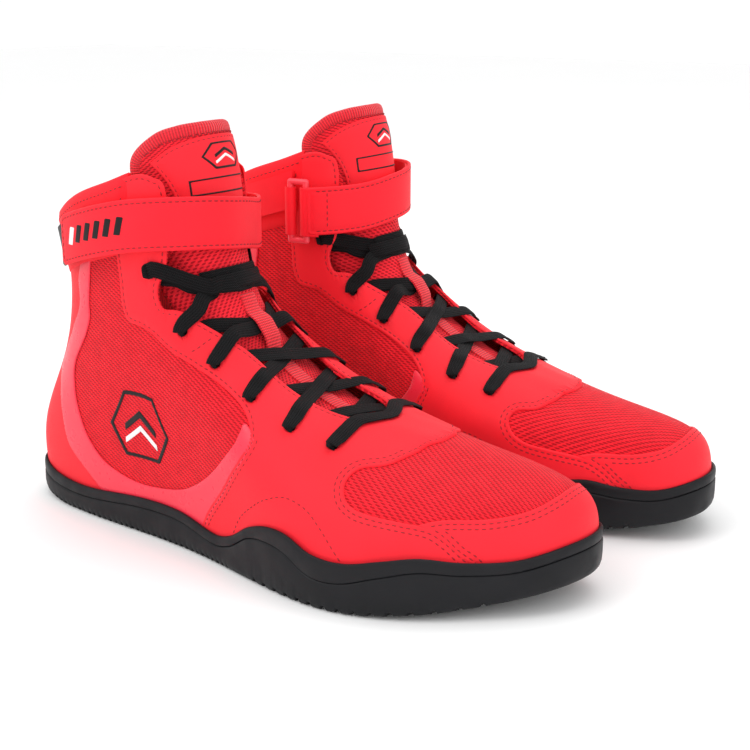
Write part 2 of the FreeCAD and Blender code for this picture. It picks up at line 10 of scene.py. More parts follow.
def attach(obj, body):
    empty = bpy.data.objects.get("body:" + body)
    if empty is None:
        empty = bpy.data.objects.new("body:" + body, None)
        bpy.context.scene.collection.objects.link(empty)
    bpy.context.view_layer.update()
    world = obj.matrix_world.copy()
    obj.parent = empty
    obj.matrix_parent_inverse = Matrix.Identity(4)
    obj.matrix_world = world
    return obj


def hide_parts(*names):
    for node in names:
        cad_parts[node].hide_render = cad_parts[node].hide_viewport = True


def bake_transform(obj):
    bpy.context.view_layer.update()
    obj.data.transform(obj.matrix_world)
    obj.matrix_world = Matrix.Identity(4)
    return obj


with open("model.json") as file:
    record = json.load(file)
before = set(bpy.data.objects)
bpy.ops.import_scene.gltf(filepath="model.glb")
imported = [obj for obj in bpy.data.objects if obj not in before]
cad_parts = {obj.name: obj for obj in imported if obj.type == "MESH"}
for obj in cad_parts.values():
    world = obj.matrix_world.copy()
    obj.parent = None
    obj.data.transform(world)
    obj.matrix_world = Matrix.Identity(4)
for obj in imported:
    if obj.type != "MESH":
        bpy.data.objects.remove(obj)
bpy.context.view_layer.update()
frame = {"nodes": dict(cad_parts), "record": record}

# A pair of red mid-height boxing boots.  Every piece is drawn once, in millimetres, as part of the
# right boot (+X heel to toe, +Y inner side, +Z up), and placed twice: as it is, and mirrored.

JOINTS = {joint["name"]: joint for joint in frame["record"]["behaviour"]["joints"]}

# ---------------------------------------------------------------- dimensions, in mm
BASE = 1.2              # mesh with its backing
OVER = 0.9              # overlays
GAP = 0.15              # room between sewn layers
OVER_TOP = GAP + OVER
PAD = 4.5               # tongue
STRAP_WIDTH, STRAP_THICK, STRAP_WALL = 24.0, 1.8, 0.8
RING_PLAY = 0.3         # room between the ring and the strap
RING_HINGE, RING_FRONT = (83.0, 39.4), 92.0
LACE_WIDTH, LACE_SLIM, LACE_THICK = 7.2, 3.4, 1.1
EYELET_RADIUS = 2.2
TOE_OUT = math.radians(5.4)
BESIDE = np.array([11.7, 103.9, 0.0])
TURN, TOE = 24, 12      # stations round the upper, and the one at the toe
UPPER_CELL = (28.0, 34.0)   # mm between whole numbers of u and of v, roughly
EDGE_SHARE = 0.35       # height of a piece at its very edge, before it rolls up to the full height
FIRST_ROW, SECOND_ROW = 2.0, 4.1    # stitch rows, from a piece's edge

_ring = JOINTS["right_ring_swivel"]["pos_m"]
ORIGIN = np.array([RING_HINGE[0] - _ring[0] * 1000, RING_HINGE[1] - _ring[1] * 1000, 0.0])
SIDES = ("right", "left")


def place(points, side):
    """From the right boot's own millimetres to the pair's metres."""
    points = np.asarray(points, float).reshape(-1, 3).copy()
    if side == "left":
        points[:, 1] *= -1
        c, s = math.cos(TOE_OUT), math.sin(TOE_OUT)
        points[:, :2] = points[:, :2] @ np.array([[c, s], [-s, c]])
        points += BESIDE
    return (points - ORIGIN) / 1000


# ---------------------------------------------------------------- surfaces
def along(table, x):
    """Smooth curve through a table of (x, value)."""
    xs, ys = np.array(table, float).T
    xs = np.r_[2 * xs[0] - xs[1], xs, 2 * xs[-1] - xs[-2]]
    ys = np.r_[ys[0], ys, 2 * ys[-1] - ys[-2]]
    x = np.asarray(x, float)
    k = np.clip(np.searchsorted(xs, x, side="left") - 1, 1, len(xs) - 3)
    span = xs[k + 1] - xs[k]
    t = np.clip((x - xs[k]) / span, 0, 1.2)
    before = (ys[k + 1] - ys[k - 1]) / (xs[k + 1] - xs[k - 1]) * span
    after = (ys[k + 2] - ys[k]) / (xs[k + 2] - xs[k]) * span
    return ((2 * t - 3) * t * t + 1) * ys[k] + ((t - 2) * t + 1) * t * before \
        + (3 - 2 * t) * t * t * ys[k + 1] + (t - 1) * t * t * after


def weights(t):
    """Weights of a uniform cubic B-spline."""
    return ((1 - t) ** 3 / 6, (3 * t ** 3 - 6 * t * t + 4) / 6,
            (-3 * t ** 3 + 3 * t * t + 3 * t + 1) / 6, t ** 3 / 6)


class Net:
    """Smooth surface through a grid of points; u runs over the rows, v along each row."""

    def __init__(self, points, closed):
        points = np.array(points, float)
        self.closed, self.poles = closed, points.copy()
        u, v = np.meshgrid(*map(np.arange, points.shape[:2]), indexing="ij")
        for _ in range(24):
            self.poles += points - self.at(u, v)

    def at(self, u, v):
        u, v = np.broadcast_arrays(np.asarray(u, float), np.asarray(v, float))
        p = self.poles
        p = np.concatenate([2 * p[:, :1] - p[:, 1:2], p, 2 * p[:, -1:] - p[:, -2:-1]], 1)
        rows, cols = self.poles.shape[:2]
        i = np.floor(u).astype(int)
        if not self.closed:
            p = np.concatenate([2 * p[:1] - p[1:2], p, 2 * p[-1:] - p[-2:-1]], 0)
            i = np.clip(i, 0, rows - 2)
        j = np.clip(np.floor(v).astype(int), 0, cols - 2)
        across, up = weights(u - i), weights(v - j)
        total = 0
        for a in range(4):
            row = (i - 1 + a) % rows if self.closed else i + a
            for b in range(4):
                total = total + (across[a] * up[b])[..., None] * p[row, j + b]
        return total

    def slopes(self, u, v, step=0.01):
        return ((self.at(u + step, v) - self.at(u - step, v)) / (2 * step),
                (self.at(u, v + step) - self.at(u, v - step)) / (2 * step))

    def normal(self, u, v):
        return unit(np.cross(*self.slopes(u, v)))

    def off(self, u, v, distance):
        return self.at(u, v) + self.normal(u, v) * np.asarray(distance, float)[..., None]

    def shift(self, u, v, direction):
        """(u, v) change that moves along a direction, per millimetre."""
        a, b = self.slopes(u, v)
        aa, ab, bb = dot(a, a), dot(a, b), dot(b, b)
        x, y = dot(a, direction), dot(b, direction)
        det = np.maximum(aa * bb - ab * ab, 1e-6)
        return np.stack([(x * bb - y * ab) / det, (y * aa - x * ab) / det], -1)

    def nearest(self, point, u, v):
        """(u, v) of the surface's point nearest to a point, from a first guess."""
        for _ in range(14):
            du, dv = self.shift(u, v, point - self.at(u, v))
            u, v = u + min(max(du, -0.4), 0.4), v + min(max(dv, -0.4), 0.4)
        return float(u), float(v)


def dot(a, b):
    return (a * b).sum(-1)


def unit(a):
    return a / np.maximum(np.linalg.norm(a, axis=-1, keepdims=True), 1e-12)


# Profile lines from the sole's edge (row 0) up to the topline or the lacing edge (row 4), at 13
# stations from the heel (0) round the outer side to the toe (12): (x, half width, z).
LAST = [
    [(0.5, 0, 8), (0, 0, 40), (16, 0, 76), (25, 0, 112), (20, 0, 144)],
    [(7, 16, 8), (7, 16.5, 40), (22, 15, 76), (30, 14, 112), (27, 17, 147)],
    [(34, 25.5, 8), (33, 26.5, 41), (40, 26, 80), (45, 26, 118), (49, 28, 158)],
    [(66, 29, 8), (64, 30.5, 43), (67, 31.5, 84), (71, 32, 126), (76, 33, 167)],
    [(94, 30, 8), (91, 31.5, 42), (90, 33.5, 84), (94, 33, 128), (98, 31, 172)],
    [(121, 32.5, 8), (117, 34, 38), (110, 35, 74), (106, 32, 112), (108, 24, 152)],
    [(149, 38, 8), (146, 39, 33), (137, 40, 62), (126, 33, 92), (117, 19, 119)],
    [(180, 45.5, 8), (177, 46, 30), (168, 46, 52), (154, 35, 76), (138, 18, 98)],
    [(212, 49.5, 9), (210, 49.5, 29), (201, 46, 47), (183, 34, 65), (160, 18, 81)],
    [(243, 44.5, 11), (241, 44, 30), (230, 39, 46), (208, 28, 60), (182, 17, 72)],
    [(269, 33, 14), (267, 32.5, 32), (256, 28, 47), (230, 20, 57), (192, 13, 69)],
    [(289, 19, 18), (288.5, 19, 35), (278, 15.5, 48), (247, 10, 57), (197, 7, 68)],
    [(296.5, 0, 20), (296, 0, 36), (285.5, 0, 49.5), (251, 0, 57.5), (199, 0, 67.5)],
]
SWING = [(0, 2), (60, 1), (120, -3), (180, -5.5), (225, -4), (260, 4), (298, 15)]
RIDGE = [(0, 0), (110, 0), (160, 2), (200, 6), (250, 13), (298, 16)]
RIDGE_SHARE = np.array([0, 0.15, 0.6, 1, 1])


def last_points():
    rows = []
    for station in range(TURN):
        x, half, z = np.array(LAST[min(station, TURN - station)], float).T
        side = -1 if station <= TOE else 1
        y = side * half + (1 - RIDGE_SHARE) * along(SWING, x) + RIDGE_SHARE * along(RIDGE, x)
        rows.append(np.stack([x, y, z], -1))
    return rows


# Tongue: (x, z) of its front line, half width and how far its edges lie behind that line.
TONGUE = [
    (206, 60.5, 18, 3), (184, 66.5, 21, 3.5), (161.5, 76.5, 23, 4.5), (142, 90.5, 25, 8),
    (129, 109.5, 25, 20), (121.8, 134, 26.5, 33), (118.5, 160, 27.5, 33), (114.5, 182, 28.5, 32),
    (109, 197, 28.5, 30),
]
TONGUE_WRAP = math.radians(80)
TONGUE_TOP = 7.66


def tongue_points():
    rows = []
    for k, (x, z, half, depth) in enumerate(TONGUE):
        before, after = TONGUE[max(k - 1, 0)], TONGUE[min(k + 1, len(TONGUE) - 1)]
        run = unit(np.array([after[0] - before[0], 0, after[1] - before[1]], float))
        front = np.array([run[2], 0, -run[0]])
        turn = np.arange(4, -5, -1) / 4 * TONGUE_WRAP
        back = depth * (1 - np.cos(turn)) / (1 - math.cos(TONGUE_WRAP))
        across = half * np.sin(turn) / math.sin(TONGUE_WRAP) + along(RIDGE, x)
        rows.append(np.stack([x + 0 * turn, across, z + 0 * turn], -1) - back[:, None] * front)
    return rows


# Middle of the ankle strap, from the ring round the front, where it climbs, to its free end.
STRAP_PATH = [(93, 42, 143.4), (102, 38.6, 144), (110.2, 31.2, 144.5), (117.2, 20.5, 145.4),
              (122.4, 8, 147.7), (124.2, -5.5, 149.6), (121, -18, 150.9), (113.2, -28.3, 151.2),
              (102, -35.2, 150.7), (88.5, -38.9, 149.2), (75, -39.6, 146.5), (62, -38.2, 143.2),
              (50, -35, 139.7), (38.5, -30.4, 136)]
RING_HEIGHT = 143.0


upper = Net(last_points(), closed=True)
tongue = Net(tongue_points(), closed=False)
strap = Net([[(x, y, z + STRAP_WIDTH / 2 * level) for level in (1, 0, -1)] for x, y, z in STRAP_PATH],
            closed=False)


# ---------------------------------------------------------------- curves on a surface
def bend(a, b, c, d, t):
    """Point on the smooth curve from b to c, with a before them and d after."""
    return 0.5 * (2 * b + (c - a) * t + (2 * a - 5 * b + 4 * c - d) * t ** 2
                  + (3 * b - a - 3 * c + d) * t ** 3)


def travel(points):
    """How far along a line each of its points lies."""
    return np.r_[0, np.cumsum(np.linalg.norm(np.diff(points, axis=0), axis=1))]


def smooth_path(points, closed, fine=24):
    """Dense (u, v) points on a curve through some; a third value marks a corner."""
    stops = []
    for p in points:
        stops += [p[:2]] * (2 if len(p) > 2 else 1)
    stops = np.array(stops, float)
    count = len(stops)
    pieces = []
    for k in range(count if closed else count - 1):
        if closed:
            a, b, c, d = (stops[(k + i) % count] for i in (-1, 0, 1, 2))
        else:
            a, b, c, d = (stops[min(max(k + i, 0), count - 1)] for i in (-1, 0, 1, 2))
        if np.allclose(b, c):
            continue
        t = np.linspace(0, 1, fine, endpoint=False)[:, None]
        pieces.append(bend(a, b, c, d, t))
    if not closed:
        pieces.append(stops[-1:])
    return np.concatenate(pieces)


def even(net, path, step, closed):
    """The path again, with its points evenly spaced by about step mm."""
    if closed:
        path = np.concatenate([path, path[:1]])
    length = travel(net.at(*path.T))
    count = max(4, int(round(length[-1] / step)))
    marks = np.linspace(0, length[-1], count + 1)
    out = np.stack([np.interp(marks, length, path[:, i]) for i in (0, 1)], -1)
    return out[:-1] if closed else out


def loop(net, points, step=1.5):
    return even(net, smooth_path(points, True), step, True)


def line(net, points, step=0.8):
    return even(net, smooth_path(points, False), step, False)


def inset(net, path, distance):
    """Closed path moved inwards over the surface by a distance in mm; gaps are left out."""
    area = 0.5 * (path[:, 0] * np.roll(path[:, 1], -1) - np.roll(path[:, 0], -1) * path[:, 1]).sum()
    here = net.at(*path.T)
    run = unit(np.roll(here, -1, 0) - np.roll(here, 1, 0))
    inward = np.cross(net.normal(*path.T), run) * np.sign(area)
    target = here + inward * distance
    moved = path
    for _ in range(3):
        moved = moved + net.shift(moved[:, 0], moved[:, 1], target - net.at(*moved.T))
    keep = (away(net.at(*moved.T), here) > 0.96 * abs(distance)) & within(moved, path)
    return moved, keep


def runs(points, keep):
    """Unbroken stretches of the kept points of a closed path."""
    if keep.all():
        return [np.concatenate([points, points[:1]])]
    first = int(np.argmin(keep))
    order = np.roll(np.arange(len(points)), -first)
    found, now = [], []
    for k in order:
        if keep[k]:
            now.append(points[k])
        elif now:
            found.append(np.array(now))
            now = []
    if now:
        found.append(np.array(now))
    return [r for r in found if len(r) > 2]


def away(points, ring):
    """Distance of each 3D point from a closed ring of points."""
    a, b = ring, np.roll(ring, -1, 0)
    span = b - a
    size2 = np.maximum(dot(span, span), 1e-9)
    out = np.empty(len(points))
    for k in range(0, len(points), 400):
        rel = points[k:k + 400, None] - a[None]
        t = np.clip((rel * span[None]).sum(-1) / size2, 0, 1)
        gap = rel - t[..., None] * span[None]
        out[k:k + 400] = np.sqrt((gap ** 2).sum(-1)).min(1)
    return out


def within(points, ring):
    """True for the (u, v) points inside a closed (u, v) ring."""
    x, y = points[:, :1], points[:, 1:]
    ax, ay = ring.T
    bx, by = np.roll(ring, -1, 0).T
    with np.errstate(divide="ignore", invalid="ignore"):
        hit = ((ay > y) != (by > y)) & (x < (bx - ax) * (y - ay) / (by - ay) + ax)
    return hit.sum(1) % 2 == 1


def gap_to(here, net, rings):
    """Distance of each 3D point from the nearest of several (u, v) rings on a net."""
    return np.min([away(here, net.at(*r.T)) for r in rings], 0)


def fill(net, rings, step, rows, cell):
    """Triangles over the region inside rings[0] and outside the others: (u, v) and faces.

    Points stand in rows at some distances from the rings, and on a staggered grid elsewhere."""
    def inside(points):
        ok = within(points, rings[0])
        for hole in rings[1:]:
            ok &= ~within(points, hole)
        return ok

    def clear(points, least):
        return gap_to(net.at(*points.T), net, rings) > least
    sets = list(rings)
    for distance in rows:
        for r in rings:
            moved, _ = inset(net, r, distance if r is rings[0] else -distance)
            moved = moved[inside(moved)]
            if len(moved):
                sets.append(moved[clear(moved, 0.93 * distance)])
    low, high = rings[0].min(0), rings[0].max(0)
    du, dv = step / cell[0], step / cell[1]
    us = np.arange(low[0], high[0], du)
    vs = np.arange(low[1], high[1], dv * 0.87)
    grid = np.array([(u + du / 2 * (k % 2), v) for k, v in enumerate(vs) for u in us])
    grid = grid[inside(grid)]
    if len(grid):
        sets.append(grid[clear(grid, (max(rows) if rows else 0) + 0.55 * step)])
    edges, start = [], 0
    for r in rings:
        edges += [(start + k, start + (k + 1) % len(r)) for k in range(len(r))]
        start += len(r)
    scale = np.array(cell)
    points = np.concatenate(sets) * scale
    verts, _, faces, *_ = delaunay_2d_cdt([Vector(p) for p in points], edges, [], 1, 1e-5)
    uv = np.array([tuple(v) for v in verts]) / scale
    faces = np.array(faces, int)
    if len(rings) > 1:
        faces = faces[inside(uv[faces].mean(1))]
    return uv, faces


# ---------------------------------------------------------------- solids, drawn once in mm
def closed_sheet(top, bottom, faces):
    """Solid between two copies of a triangulated sheet."""
    count = len(top)
    edges = np.concatenate([faces[:, [0, 1]], faces[:, [1, 2]], faces[:, [2, 0]]])
    known = {tuple(e) for e in edges.tolist()}
    rim = [e for e in known if (e[1], e[0]) not in known]
    out = faces.tolist() + (faces[:, ::-1] + count).tolist()
    out += [(b, a, a + count, b + count) for a, b in rim]
    return np.concatenate([top, bottom]), out


def rolled(distance, radius):
    t = np.clip(distance / radius, 0, 1)
    return np.sqrt(1 - (1 - t) ** 2)


def turned(faces, points, facing):
    """Triangles, all turned round where most of them face away from the given directions."""
    a, b, c = (points[faces[:, k]] for k in range(3))
    return faces[:, ::-1] if dot(np.cross(b - a, c - a), facing[faces[:, 0]]).sum() < 0 else faces


def shell(net, rings, rows, profile, step, cell):
    """Closed piece over the region that fill() covers: verts, faces and (u, v).

    profile(uv, gap) gives the heights of its outer and inner face; gap is the way to the edge."""
    uv, faces = fill(net, rings, step, rows, cell)
    here, facing = net.at(*uv.T), net.normal(*uv.T)
    top, bottom = profile(uv, gap_to(here, net, rings))
    verts, solid = closed_sheet(here + facing * top[:, None], here + facing * bottom[:, None],
                                turned(faces, here, facing))
    return verts, solid, np.concatenate([uv, uv])


def plate(net, rings, low, high, cell, step=2.2, radius=0.5, seams=(), groove=(0.6, 0.2, 0.4), lift=None):
    """Thin closed piece on a net, with rounded edges and sunk stitch lines.

    A groove is the room of its rows of points, its depth and its width."""
    room, depth, width = groove

    def profile(uv, gap):
        height = low + (high - low) * (EDGE_SHARE + (1 - EDGE_SHARE) * rolled(gap, radius))
        for s in seams:
            height = height - depth * np.exp(-((gap - s) / width) ** 2)
        rise = 0 * gap if lift is None else lift(uv)
        return height + rise, low + rise
    rows = sorted([0.25, 0.7] + [s + side for s in seams for side in (-room, 0, room)])
    return shell(net, rings, rows, profile, step, cell)


def upper_plate(rings, low, high, step=2.6, radius=0.7, seams=()):
    """plate() on the upper, with a wider groove."""
    return plate(upper, rings, low, high, UPPER_CELL, step, radius, seams, (0.7, 0.22, 0.45))


def tube_rings(rings, closed_ends=True):
    """Faces joining equal rings of points in order."""
    verts = np.concatenate(rings)
    n = len(rings[0])
    faces = []
    for k in range(len(rings) - 1):
        for i in range(n):
            j = (i + 1) % n
            faces.append((k * n + i, k * n + j, (k + 1) * n + j, (k + 1) * n + i))
    if closed_ends:
        faces.append(tuple(range(n))[::-1])
        faces.append(tuple(range((len(rings) - 1) * n, len(rings) * n)))
    return verts, faces


def joined(parts):
    """One mesh out of several (verts, faces)."""
    verts, faces, start = [], [], 0
    for v, f in parts:
        verts.append(v)
        faces += [tuple(i + start for i in face) for face in f]
        start += len(v)
    return np.concatenate(verts), faces


def thread(centre, run, facing, length, width):
    """One stitch: a short rounded bead of thread."""
    side = np.cross(run, facing)
    rings = []
    for along_share, size in ((-0.5, 0.35), (-0.36, 0.85), (0, 1), (0.36, 0.85), (0.5, 0.35)):
        dip = -0.22 * (2 * along_share) ** 2
        middle = centre + run * (length * along_share) + facing * dip
        rings.append([middle + (side * math.cos(a) + facing * math.sin(a) * 0.7) * (width / 2 * size)
                      for a in np.linspace(0, 2 * math.pi, 6, endpoint=False)])
    return tube_rings([np.array(r) for r in rings])


def stitches(net, path, height, pitch=3.0, length=2.1, width=0.62):
    """Beads along an open (u, v) path."""
    here, facing = net.off(*path.T, height), net.normal(*path.T)
    marks = travel(here)

    def at(values, mark):
        return np.array([np.interp(mark, marks, values[:, i]) for i in range(3)])
    parts = []
    for mark in np.arange(pitch / 2, marks[-1] - length / 2, pitch):
        a, b = at(here, mark - length / 2), at(here, mark + length / 2)
        up, run = unit(at(facing, mark)), unit(b - a)
        up = unit(up - run * dot(up, run))
        parts.append(thread((a + b) / 2, run, up, length, width))
    return parts


def oval(centre, side, up, half, thick, power, count, shift=0.0):
    """Rings of a flattened tube round a line, their places across it and their angles."""
    turns = np.linspace(0, 2 * math.pi, count, endpoint=False)
    across = np.copysign(np.abs(np.cos(turns)) ** power, np.cos(turns)) * half[:, None] + shift
    rise = np.sin(turns) * thick[:, None]
    rings = centre[:, None] + side[:, None] * across[..., None] + up[:, None] * rise[..., None]
    return rings, across, turns


def seam(net, ring, distance, height, keep=None, **sizes):
    """Stitches that follow a closed outline at a distance inside it."""
    moved, ok = inset(net, ring, distance)
    if keep is not None:
        ok &= keep(moved)
    parts = []
    for stretch in runs(moved, ok):
        parts += stitches(net, stretch, height, **sizes)
    return parts


# ---------------------------------------------------------------- materials
class Paint:
    """A material with a Principled shader, and short calls for its nodes."""

    def __init__(self, name, color, roughness, **sockets):
        self.made = bpy.data.materials.new(name)
        self.made.use_nodes = True
        self.made.diffuse_color = (*color, 1)
        self.nodes, self.links = self.made.node_tree.nodes, self.made.node_tree.links
        self.shader = self.nodes["Principled BSDF"]
        self.shader.inputs["Base Color"].default_value = (*color, 1)
        self.shader.inputs["Roughness"].default_value = roughness
        for socket, value in sockets.items():
            self.shader.inputs[socket.replace("_", " ")].default_value = value
        self.object = self.nodes.new("ShaderNodeTexCoord").outputs["Object"]
        self.bumped = None

    def math(self, kind, a, b=None):
        node = self.nodes.new("ShaderNodeMath")
        node.operation = kind
        for k, value in enumerate((a, b)):
            if isinstance(value, (int, float)):
                node.inputs[k].default_value = value
            elif value is not None:
                self.links.new(value, node.inputs[k])
        return node.outputs[0]

    def add(self, a, b):
        return self.math("ADD", a, b)

    def times(self, a, b):
        return self.math("MULTIPLY", a, b)

    def wave(self, value, pitch):
        """Sine with a pitch in mm."""
        return self.math("SINE", self.times(value, 2 * math.pi / pitch))

    def noise(self, scale, detail=3.0, rough=0.55):
        node = self.nodes.new("ShaderNodeTexNoise")
        node.inputs["Scale"].default_value = scale
        node.inputs["Detail"].default_value = detail
        node.inputs["Roughness"].default_value = rough
        self.links.new(self.object, node.inputs["Vector"])
        return node.outputs["Fac"]

    def cells(self, scale):
        node = self.nodes.new("ShaderNodeTexVoronoi")
        node.inputs["Scale"].default_value = scale
        self.links.new(self.object, node.inputs["Vector"])
        return node.outputs["Distance"]

    def cloth_xy(self):
        """Millimetre coordinates along the cloth."""
        uv = self.nodes.new("ShaderNodeUVMap")
        uv.uv_map = "cloth"
        split = self.nodes.new("ShaderNodeSeparateXYZ")
        self.links.new(uv.outputs[0], split.inputs[0])
        return split.outputs[0], split.outputs[1]

    def range(self, value, low, high, to_low, to_high):
        node = self.nodes.new("ShaderNodeMapRange")
        node.interpolation_type = "SMOOTHSTEP"
        for k, v in enumerate((low, high, to_low, to_high), 1):
            node.inputs[k].default_value = v
        self.links.new(value, node.inputs[0])
        return node.outputs[0]

    def mix(self, share, first, second):
        node = self.nodes.new("ShaderNodeMix")
        node.data_type = "RGBA"
        self.links.new(share, node.inputs["Factor"])
        for socket, value in (("A", first), ("B", second)):
            target = [s for s in node.inputs if s.name == socket and s.type == "RGBA"][0]
            if isinstance(value, tuple):
                target.default_value = (*value, 1)
            else:
                self.links.new(value, target)
        return [s for s in node.outputs if s.type == "RGBA"][0]

    def tone(self, value, low, high, color, dark, light):
        """Colour that goes with a value from a darker to a lighter shade."""
        return self.mix(self.range(value, low, high, 0, 1), shade(color, dark), shade(color, light))

    def base(self, socket):
        self.links.new(socket, self.shader.inputs["Base Color"])

    def rough(self, socket):
        self.links.new(socket, self.shader.inputs["Roughness"])

    def bump(self, height, depth_mm, strength):
        node = self.nodes.new("ShaderNodeBump")
        node.inputs["Strength"].default_value = strength
        node.inputs["Distance"].default_value = depth_mm / 1000
        self.links.new(height, node.inputs["Height"])
        if self.bumped is not None:
            self.links.new(self.bumped, node.inputs["Normal"])
        self.bumped = node.outputs[0]
        self.links.new(self.bumped, self.shader.inputs["Normal"])


def shade(color, factor):
    return tuple(min(1.0, c * factor) for c in color)


def microfibre(name, color, roughness=0.62):
    paint = Paint(name, color, roughness, Sheen_Weight=0.03, Sheen_Roughness=0.5,
                  Specular_IOR_Level=0.24)
    cloud, grain = paint.noise(22, 3), paint.noise(2600, 4, 0.6)
    both = paint.add(paint.times(cloud, 0.7), paint.times(grain, 0.3))
    paint.base(paint.tone(both, 0.35, 0.65, color, 0.9, 1.06))
    paint.rough(paint.range(grain, 0.3, 0.7, roughness - 0.08, roughness + 0.08))
    paint.bump(grain, 0.05, 0.5)
    paint.bump(paint.cells(900), 0.04, 0.35)
    return paint.made


def holed_mesh(name, color, dark, across, up, hole):
    """Warp-knit cloth: staggered rows of small slanting slits with raised yarn between them; the slits are
    the mesh's real holes, painted dark as painted shade inside them.
    """
    paint = Paint(name, color, 0.75, Sheen_Weight=0.06, Sheen_Roughness=0.5, Specular_IOR_Level=0.16)
    x, y = paint.cloth_xy()
    row = paint.math("DIVIDE", y, up)
    shifted = paint.add(paint.math("DIVIDE", x, across), paint.times(paint.math("FLOOR", row), 0.5))
    fx, fy = (paint.math("SUBTRACT", paint.math("FRACT", value), 0.5) for value in (shifted, row))
    fy = paint.add(fy, paint.times(fx, 0.5))
    far = paint.add(*(paint.math("POWER", paint.math("DIVIDE", paint.math("ABSOLUTE", f), size), 2.0)
                      for f, size in ((fx, hole[0]), (fy, hole[1]))))
    tone = paint.tone(paint.noise(160, 2), 0.3, 0.7, color, 0.88, 1.08)
    # the slits take the dark colour: painted shade in the mesh's holes
    paint.base(paint.mix(paint.range(far, 0.35, 1.7, 0, 1), dark, tone))
    paint.bump(paint.range(far, 0.2, 2.6, 0, 1), 0.45, 0.9)
    paint.bump(paint.noise(1500, 3), 0.12, 0.5)
    return paint.made


def knit(name, color, pitch, depth):
    """Ribbed knit, ribs across the cloth's length, with painted shade in the grooves between the ribs."""
    paint = Paint(name, color, 0.78, Sheen_Weight=0.2, Sheen_Roughness=0.5, Specular_IOR_Level=0.25)
    x, y = paint.cloth_xy()
    rib = paint.wave(x, pitch)
    # darker in the grooves between the ribs and a little lighter on them: painted shade and painted
    # highlight
    paint.base(paint.tone(rib, -1, 0.6, color, 0.62, 1.04))
    paint.bump(rib, depth, 0.8)
    paint.bump(paint.wave(y, pitch * 0.7), 0.12, 0.5)
    paint.bump(paint.noise(1800, 3), 0.1, 0.4)
    return paint.made


def braid(name, color):
    """Flat braided lace: ribs along it, crossed by small slanting threads, painted lighter on the crests
    and darker in the grooves as painted highlight and painted shade.
    """
    paint = Paint(name, color, 0.75, Sheen_Weight=0.02, Sheen_Roughness=0.45, Specular_IOR_Level=0.16)
    x, y = paint.cloth_xy()
    slant = paint.wave(paint.add(x, paint.times(paint.math("ABSOLUTE", y), 0.9)), 0.95)
    both = paint.add(paint.times(slant, 0.5), paint.times(paint.wave(y, 1.15), 0.5))
    # lighter on the raised threads and darker in the grooves: painted highlight and painted shade
    paint.base(paint.tone(both, -0.6, 0.8, color, 0.3, 2.4))
    paint.bump(both, 0.28, 0.9)
    paint.bump(paint.noise(2200, 3), 0.08, 0.5)
    return paint.made


def rubber(name, color, roughness=0.5):
    paint = Paint(name, color, roughness, Specular_IOR_Level=0.24)
    paint.base(paint.tone(paint.noise(60, 4), 0.3, 0.7, color, 0.85, 1.25))
    paint.rough(paint.range(paint.noise(120, 4), 0.3, 0.7, roughness - 0.07, roughness + 0.1))
    paint.bump(paint.noise(3000, 3), 0.04, 0.4)
    return paint.made


def film(name, color):
    """Welded film: smooth, slightly glossy, with a soft orange-peel surface."""
    paint = Paint(name, color, 0.34, Specular_IOR_Level=0.32, Coat_Weight=0.12, Coat_Roughness=0.3)
    paint.base(paint.tone(paint.noise(30, 3), 0.3, 0.7, color, 0.93, 1.05))
    paint.rough(paint.range(paint.noise(220, 3), 0.3, 0.7, 0.26, 0.38))
    paint.bump(paint.noise(500, 2), 0.05, 0.35)
    return paint.made


def yarn(name, color):
    paint = Paint(name, color, 0.55, Specular_IOR_Level=0.35)
    ply = paint.noise(2400, 2)
    paint.base(paint.tone(ply, 0.35, 0.65, color, 0.75, 1.1))
    paint.bump(ply, 0.08, 0.5)
    return paint.made


def tape(name, color, scale):
    """Hook or loop tape: a dense field of tiny tufts, painted lighter at the tufts and darker between them
    as painted highlight and painted shade.
    """
    paint = Paint(name, color, 0.85, Sheen_Weight=0.15)
    tufts = paint.cells(scale)
    # lighter at the tufts and darker between them: painted highlight and painted shade
    paint.base(paint.tone(tufts, 0.1, 0.6, color, 1.9, 0.5))
    paint.bump(tufts, 0.4, 0.8)
    return paint.made


def fibre(name, color):
    paint = Paint(name, color, 0.85)
    speck = paint.noise(900, 5, 0.7)
    paint.base(paint.tone(speck, 0.35, 0.65, color, 0.8, 1.1))
    paint.bump(speck, 0.08, 0.5)
    return paint.made


